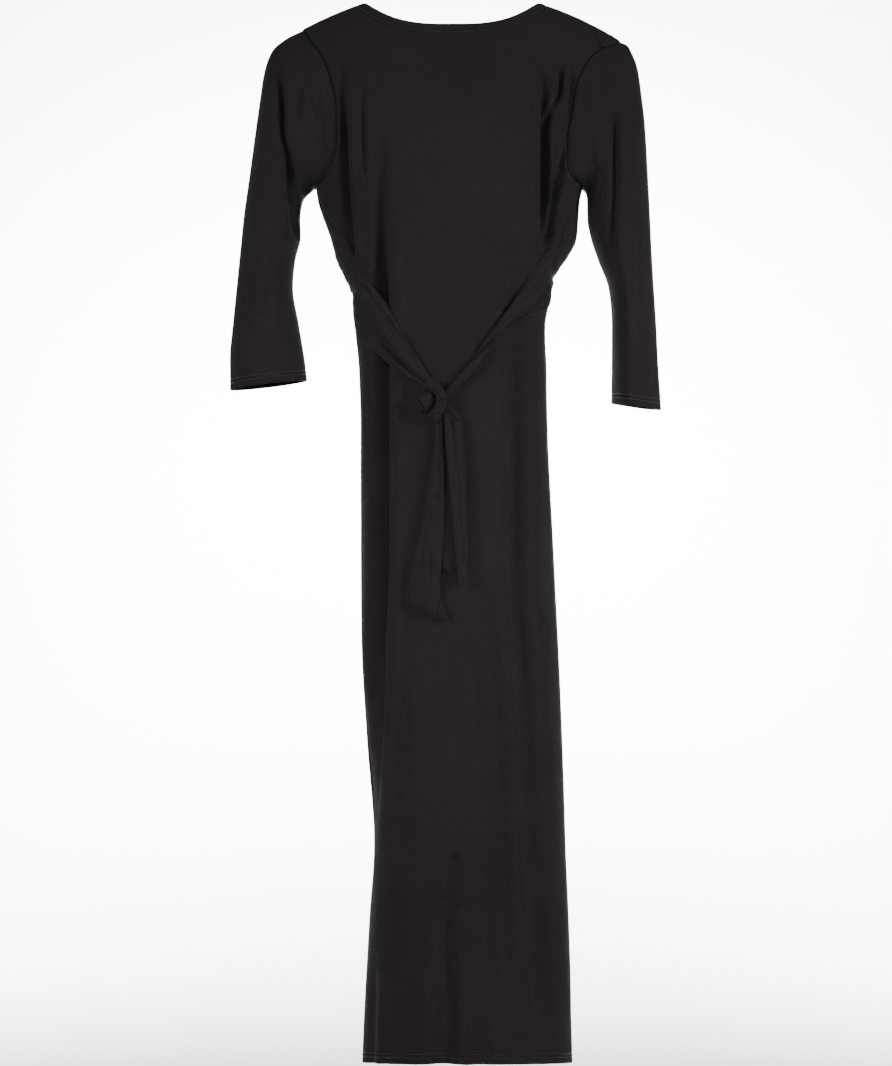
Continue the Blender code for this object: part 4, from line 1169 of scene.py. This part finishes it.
def wrap_grid():
    """Rings of the knot's wrapped band, puffed and creased across as it turns."""
    t = np.linspace(0, 1, WRAP_RINGS)
    read = read_table(WRAP, t)
    around = np.linspace(0, 2 * np.pi, WRAP_AROUND, endpoint=False)
    across = 0.5 - 0.5 * np.cos(around)
    round_up = np.sign(np.sin(around)) * np.abs(np.sin(around)) ** WRAP_ROUNDNESS
    x = read["outer_x"] + (read["inner_x"] - read["outer_x"]) * across
    z = read["outer_z"] + (read["inner_z"] - read["outer_z"]) * across
    length = arc_lengths(np.stack([x.mean(axis=1), z.mean(axis=1)], axis=-1)[:, None], 0)[-1, 0]
    dent = np.zeros_like(x)
    for crease in WRAP_CREASES:
        off = (t[:, None] - crease.at - crease.slant * (across - 0.5)) * length
        fade = WRAP_CREASE_FADE
        reach = smoothstep(crease.start - fade, crease.start + fade, across)
        reach = reach * smoothstep(-fade, fade, crease.end - across)
        deep = crease.depth * WRAP_CREASE_DEEPENING * MM
        dent += deep * reach * np.exp(-(off / (crease.width * MM)) ** 2)
    top = np.where(round_up > 0, 1, WRAP_UNDER) * round_up
    return back_point(x, z, read["lift"] + read["rise"] * top - dent * np.maximum(round_up, 0))


def loop_grid():
    """Rings of the knot's loop, a puffed rounded triangle with creases over it."""
    angles, radii = np.array(LOOP_OUTLINE, float).T
    turn = np.linspace(angles[0], angles[-1], LOOP_AROUND, endpoint=False)
    radius = smooth(turn, angles, radii) * MM
    polar = np.linspace(LOOP_POLE, np.pi - LOOP_POLE, LOOP_RINGS)[:, None]
    spread = np.sin(polar) ** LOOP_ROUNDNESS * radius
    off_x, off_z = spread * np.cos(np.radians(turn)), spread * np.sin(np.radians(turn))
    height = np.cos(polar) * np.where(np.cos(polar) > 0, LOOP_RISE, LOOP_UNDER)
    dent = np.zeros_like(off_x)
    for crease in LOOP_CREASES:
        start = np.array([crease.x0, crease.z0]) * MM
        run = np.array([crease.x1, crease.z1]) * MM - start
        share = ((off_x - start[0]) * run[0] + (off_z - start[1]) * run[1]) / (run @ run)
        share = np.clip(share, 0, 1)
        away = np.hypot(off_x - start[0] - share * run[0], off_z - start[1] - share * run[1])
        dent += crease.depth * MM * np.exp(-(away / (crease.width * MM)) ** 2)
    rise = LOOP_LIFT + height - dent * (height > 0)
    return back_point(LOOP_CENTRE[0] + off_x, LOOP_CENTRE[1] + off_z, rise)


def add_stitches(name, lines):
    """Sew straight stitches along lines; a line is its points and the normals of its cloth."""
    around = np.linspace(0, 2 * np.pi, STITCH_AROUND, endpoint=False)
    shape = np.array(STITCH_SHAPE)
    points, faces = [], []
    for line, normals in lines:
        run = np.concatenate([[0], np.cumsum(np.linalg.norm(np.diff(line, axis=0), axis=1))])
        at = np.arange(STITCH_PITCH, run[-1] - STITCH_PITCH / 2, STITCH_PITCH)
        ends = [np.stack([np.interp(at + half, run, line[:, axis]) for axis in range(3)], axis=-1)
                for half in (-STITCH_LENGTH / 2, STITCH_LENGTH / 2)]
        out = unit(np.stack([np.interp(at, run, normals[:, axis]) for axis in range(3)], axis=-1))
        along = unit(ends[1] - ends[0])
        side = unit(np.cross(out, along))
        middle = (ends[0] + ends[1]) / 2 + out * STITCH_RADIUS * STITCH_OUT
        ring = (np.cos(around)[:, None] * side[:, None, None]
                + np.sin(around)[:, None] * np.cross(along, side)[:, None, None])
        rings = (middle[:, None, None] + along[:, None, None] * shape[:, :1, None] * STITCH_LENGTH
                 + ring * shape[:, 1:, None] * STITCH_RADIUS)
        points.append(rings.reshape(-1, 3))
    points = np.concatenate(points)
    each = len(shape) * STITCH_AROUND
    index = np.arange(each).reshape(len(shape), STITCH_AROUND)
    index = np.hstack([index, index[:, :1]])
    corners = (index[:-1, :-1], index[:-1, 1:], index[1:, 1:], index[1:, :-1])
    quads = np.stack(corners, axis=-1).reshape(-1, 4).tolist()
    caps = [index[0, -2::-1].tolist(), index[-1, :-1].tolist()]
    for start in range(0, len(points), each):
        faces += [[start + corner for corner in face] for face in quads + caps]
    mesh = bpy.data.meshes.new(name)
    mesh.from_pydata(points.tolist(), [], faces)
    link(name, mesh, THREAD)


def line_over(points, normals, distance, from_end):
    """A line across a grid at a distance from its first row, or from its last."""
    top = arc_lengths(points, 0)
    run = (top[-1:] - top)[::-1] if from_end else top
    order = slice(None, None, -1) if from_end else slice(None)
    line = np.empty((points.shape[1], 6))
    both = np.concatenate([points, normals], axis=-1)[order]
    for column in range(points.shape[1]):
        for part in range(6):
            line[column, part] = np.interp(distance, run[:, column], both[:, column, part])
    return line[:, :3], line[:, 3:]


def add_panels():
    """Add the back and front; give the edges of their armholes, and the sewing on them."""
    edges, hem_lines, neck_lines = {}, [], []
    for name, side, division, armholes, creases, seed, flat, area in (
            ("back_panel", -1, BACK_DIVISION, (LEFT_BACK_ARMHOLE, RIGHT_BACK_ARMHOLE),
             BACK_CREASES, 3, (0.40, 1.28), 0.40),
            ("front_panel", 1, FRONT_DIVISION, (LEFT_FRONT_ARMHOLE, RIGHT_FRONT_ARMHOLE),
             FRONT_CREASES, 8, (0.44, 1.28), 0.42)):
        u = across_shares(division.columns)
        grid = panel_grid(side, u, division.top_rows, panel_levels(division), armholes)
        grid = fold_panel(grid, creases, side, seed)
        down = division.top_rows + 1 + division.chest_rows
        edges[side] = grid[:down, :2], grid[:down, :-3:-1]
        normals = grid_normals(grid) * -side
        hem_lines += [line_over(grid, normals, row, True) for row in STITCH_ROWS]
        neck = slice(SHOULDER_COLUMNS, -SHOULDER_COLUMNS)
        near, near_normals = grid[:NECK_STITCH_ROWS, neck], normals[:NECK_STITCH_ROWS, neck]
        neck_lines.append(line_over(near, near_normals, NECK_STITCHES_BELOW, False))
        piece = add_sheet(name, turn_under(grid, normals), CLOTH, flip=side > 0)
    add_stitches("hem_stitches", hem_lines)
    add_stitches("neck_stitches", neck_lines)
    add_tacks(*neck_lines[0])
    return edges


def add_tacks(line, normals):
    """Two short tacks, each of two rows, below the neckband at the back."""
    tacks = []
    order = np.argsort(line[:, 0])
    for place in TACK_PLACES:
        x = place + np.linspace(-0.5, 0.5, 3) * (TACK_LENGTH + STITCH_PITCH)
        at, out = (np.stack([np.interp(x, line[order, 0], part[order, axis]) for axis in range(3)],
                            axis=-1) for part in (line, normals))
        for below in (0, TACK_ROW_GAP):
            tacks.append((at - np.array([0, 0, TACK_BELOW + below]), out))
    add_stitches("label_tacks", tacks)


def add_sleeves(edges):
    """Add both sleeves, sewn to the armholes, with the stitches of their cuffs."""
    for name, rings, creases, which, seed in (
            ("sleeve_left", LEFT_RINGS, LEFT_SLEEVE_CREASES, 0, 5),
            ("sleeve_right", RIGHT_RINGS, RIGHT_SLEEVE_CREASES, 1, 6)):
        rows, normals = sleeve_grid(rings, creases, edges[-1][which], edges[1][which],
                                    which == 1, seed)
        piece = add_sheet(name, turn_under(rows, normals), CLOTH, closed=True, flip=which == 1)
        closed = [np.concatenate([part, part[:, :1]], axis=1) for part in (rows, normals)]
        add_stitches(name + "_stitches", [line_over(*closed, row, True) for row in STITCH_ROWS])


def add_ties():
    """Add both ties and the two tails that hang from the knot."""
    for name, edges, creases, flip, flat, area, seed in (
            ("tie_left", LEFT_TIE, LEFT_TIE_CREASES, True, (0.06, 0.18), 0.0072, 11),
            ("tie_right", RIGHT_TIE, RIGHT_TIE_CREASES, False, (0.05, 0.23), 0.0075, 12),
            ("tail_left", LEFT_TAIL, LEFT_TAIL_CREASES, False, (0.05, 0.25), 0.007, 13)):
        grid = ribbon_grid(edges)
        grid = crease_ribbon(grid, creases, -1 if flip else 1, 1, True, seed)
        piece = add_sheet(name, grid, TIE_CLOTH, flip=flip)
    grid = folded_tail_grid(RIGHT_TAIL)
    on_front = np.arange(grid.shape[1]) > TAIL_LEAF_COLUMNS + len(TAIL_FOLD)
    grid = crease_ribbon(grid, RIGHT_TAIL_CREASES, -1, on_front, False, 14)
    piece = add_sheet("tail_right", grid, TIE_CLOTH)


def build_dress():
    """Add every piece of the dress in place of its solid."""
    add_sleeves(add_panels())
    piece = add_sheet("neckband", neckband_grid(), BAND_CLOTH, closed=True)
    add_ties()
    add_tube("knot_wrap", wrap_grid(), (0.04, 0.07))
    add_tube("knot_loop", loop_grid(), (0.08, 0.04))


def add_light(box):
    """A soft box of the studio."""
    light = bpy.data.lights.new(box.name, "AREA")
    light.spread = np.radians(box.spread)
    light.shape = "RECTANGLE"
    light.size, light.size_y = box.size
    light.energy = box.power
    lamp = bpy.data.objects.new(box.name, light)
    lamp.location = box.place
    way = Vector(box.aim) - Vector(box.place)
    lamp.rotation_euler = way.to_track_quat("-Z", "Y").to_euler()
    bpy.context.scene.collection.objects.link(lamp)


def add_sweep():
    """A pale paper floor that sweeps up behind the dress."""
    bend = np.linspace(0, np.pi / 2, SWEEP_STEPS)
    profile = [(SWEEP_FRONT, FLOOR)]
    profile += [(BACKDROP - SWEEP + SWEEP * np.sin(turn), FLOOR + SWEEP * (1 - np.cos(turn)))
                for turn in bend]
    profile.append((BACKDROP, SWEEP_TOP))
    points = [(x, y, z) for x in (-SWEEP_HALF, SWEEP_HALF) for y, z in profile]
    count = len(profile)
    quads = [(count + k, count + k + 1, k + 1, k) for k in range(count - 1)]
    mesh = bpy.data.meshes.new("sweep")
    mesh.from_pydata(points, [], quads)
    mesh.shade_smooth()
    paper, shader = new_material("paper", PAPER_ROUGHNESS, 0)
    shader.inputs["Base Color"].default_value = PAPER_COLOUR
    mesh.materials.append(paper)
    sweep = bpy.data.objects.new("sweep", mesh)
    bpy.context.scene.collection.objects.link(sweep)


def build_studio():
    """Paper, soft light from both sides with more on the paper, and the camera."""
    add_sweep()
    world = bpy.data.worlds.new("studio")
    world.use_nodes = True
    background = world.node_tree.nodes["Background"].inputs
    background["Color"].default_value = (1, 1, 1, 1)
    background["Strength"].default_value = WORLD_STRENGTH
    bpy.context.scene.world = world
    for box in LIGHTS:
        add_light(box)

    lens = bpy.data.cameras.new("camera")
    lens.lens = LENS
    lens.sensor_width = SENSOR
    camera = bpy.data.objects.new("camera", lens)
    camera.location = CAMERA
    camera.rotation_euler = (np.pi / 2, 0, 0)
    bpy.context.scene.collection.objects.link(camera)
    bpy.context.scene.camera = camera


build_dress()
build_studio()
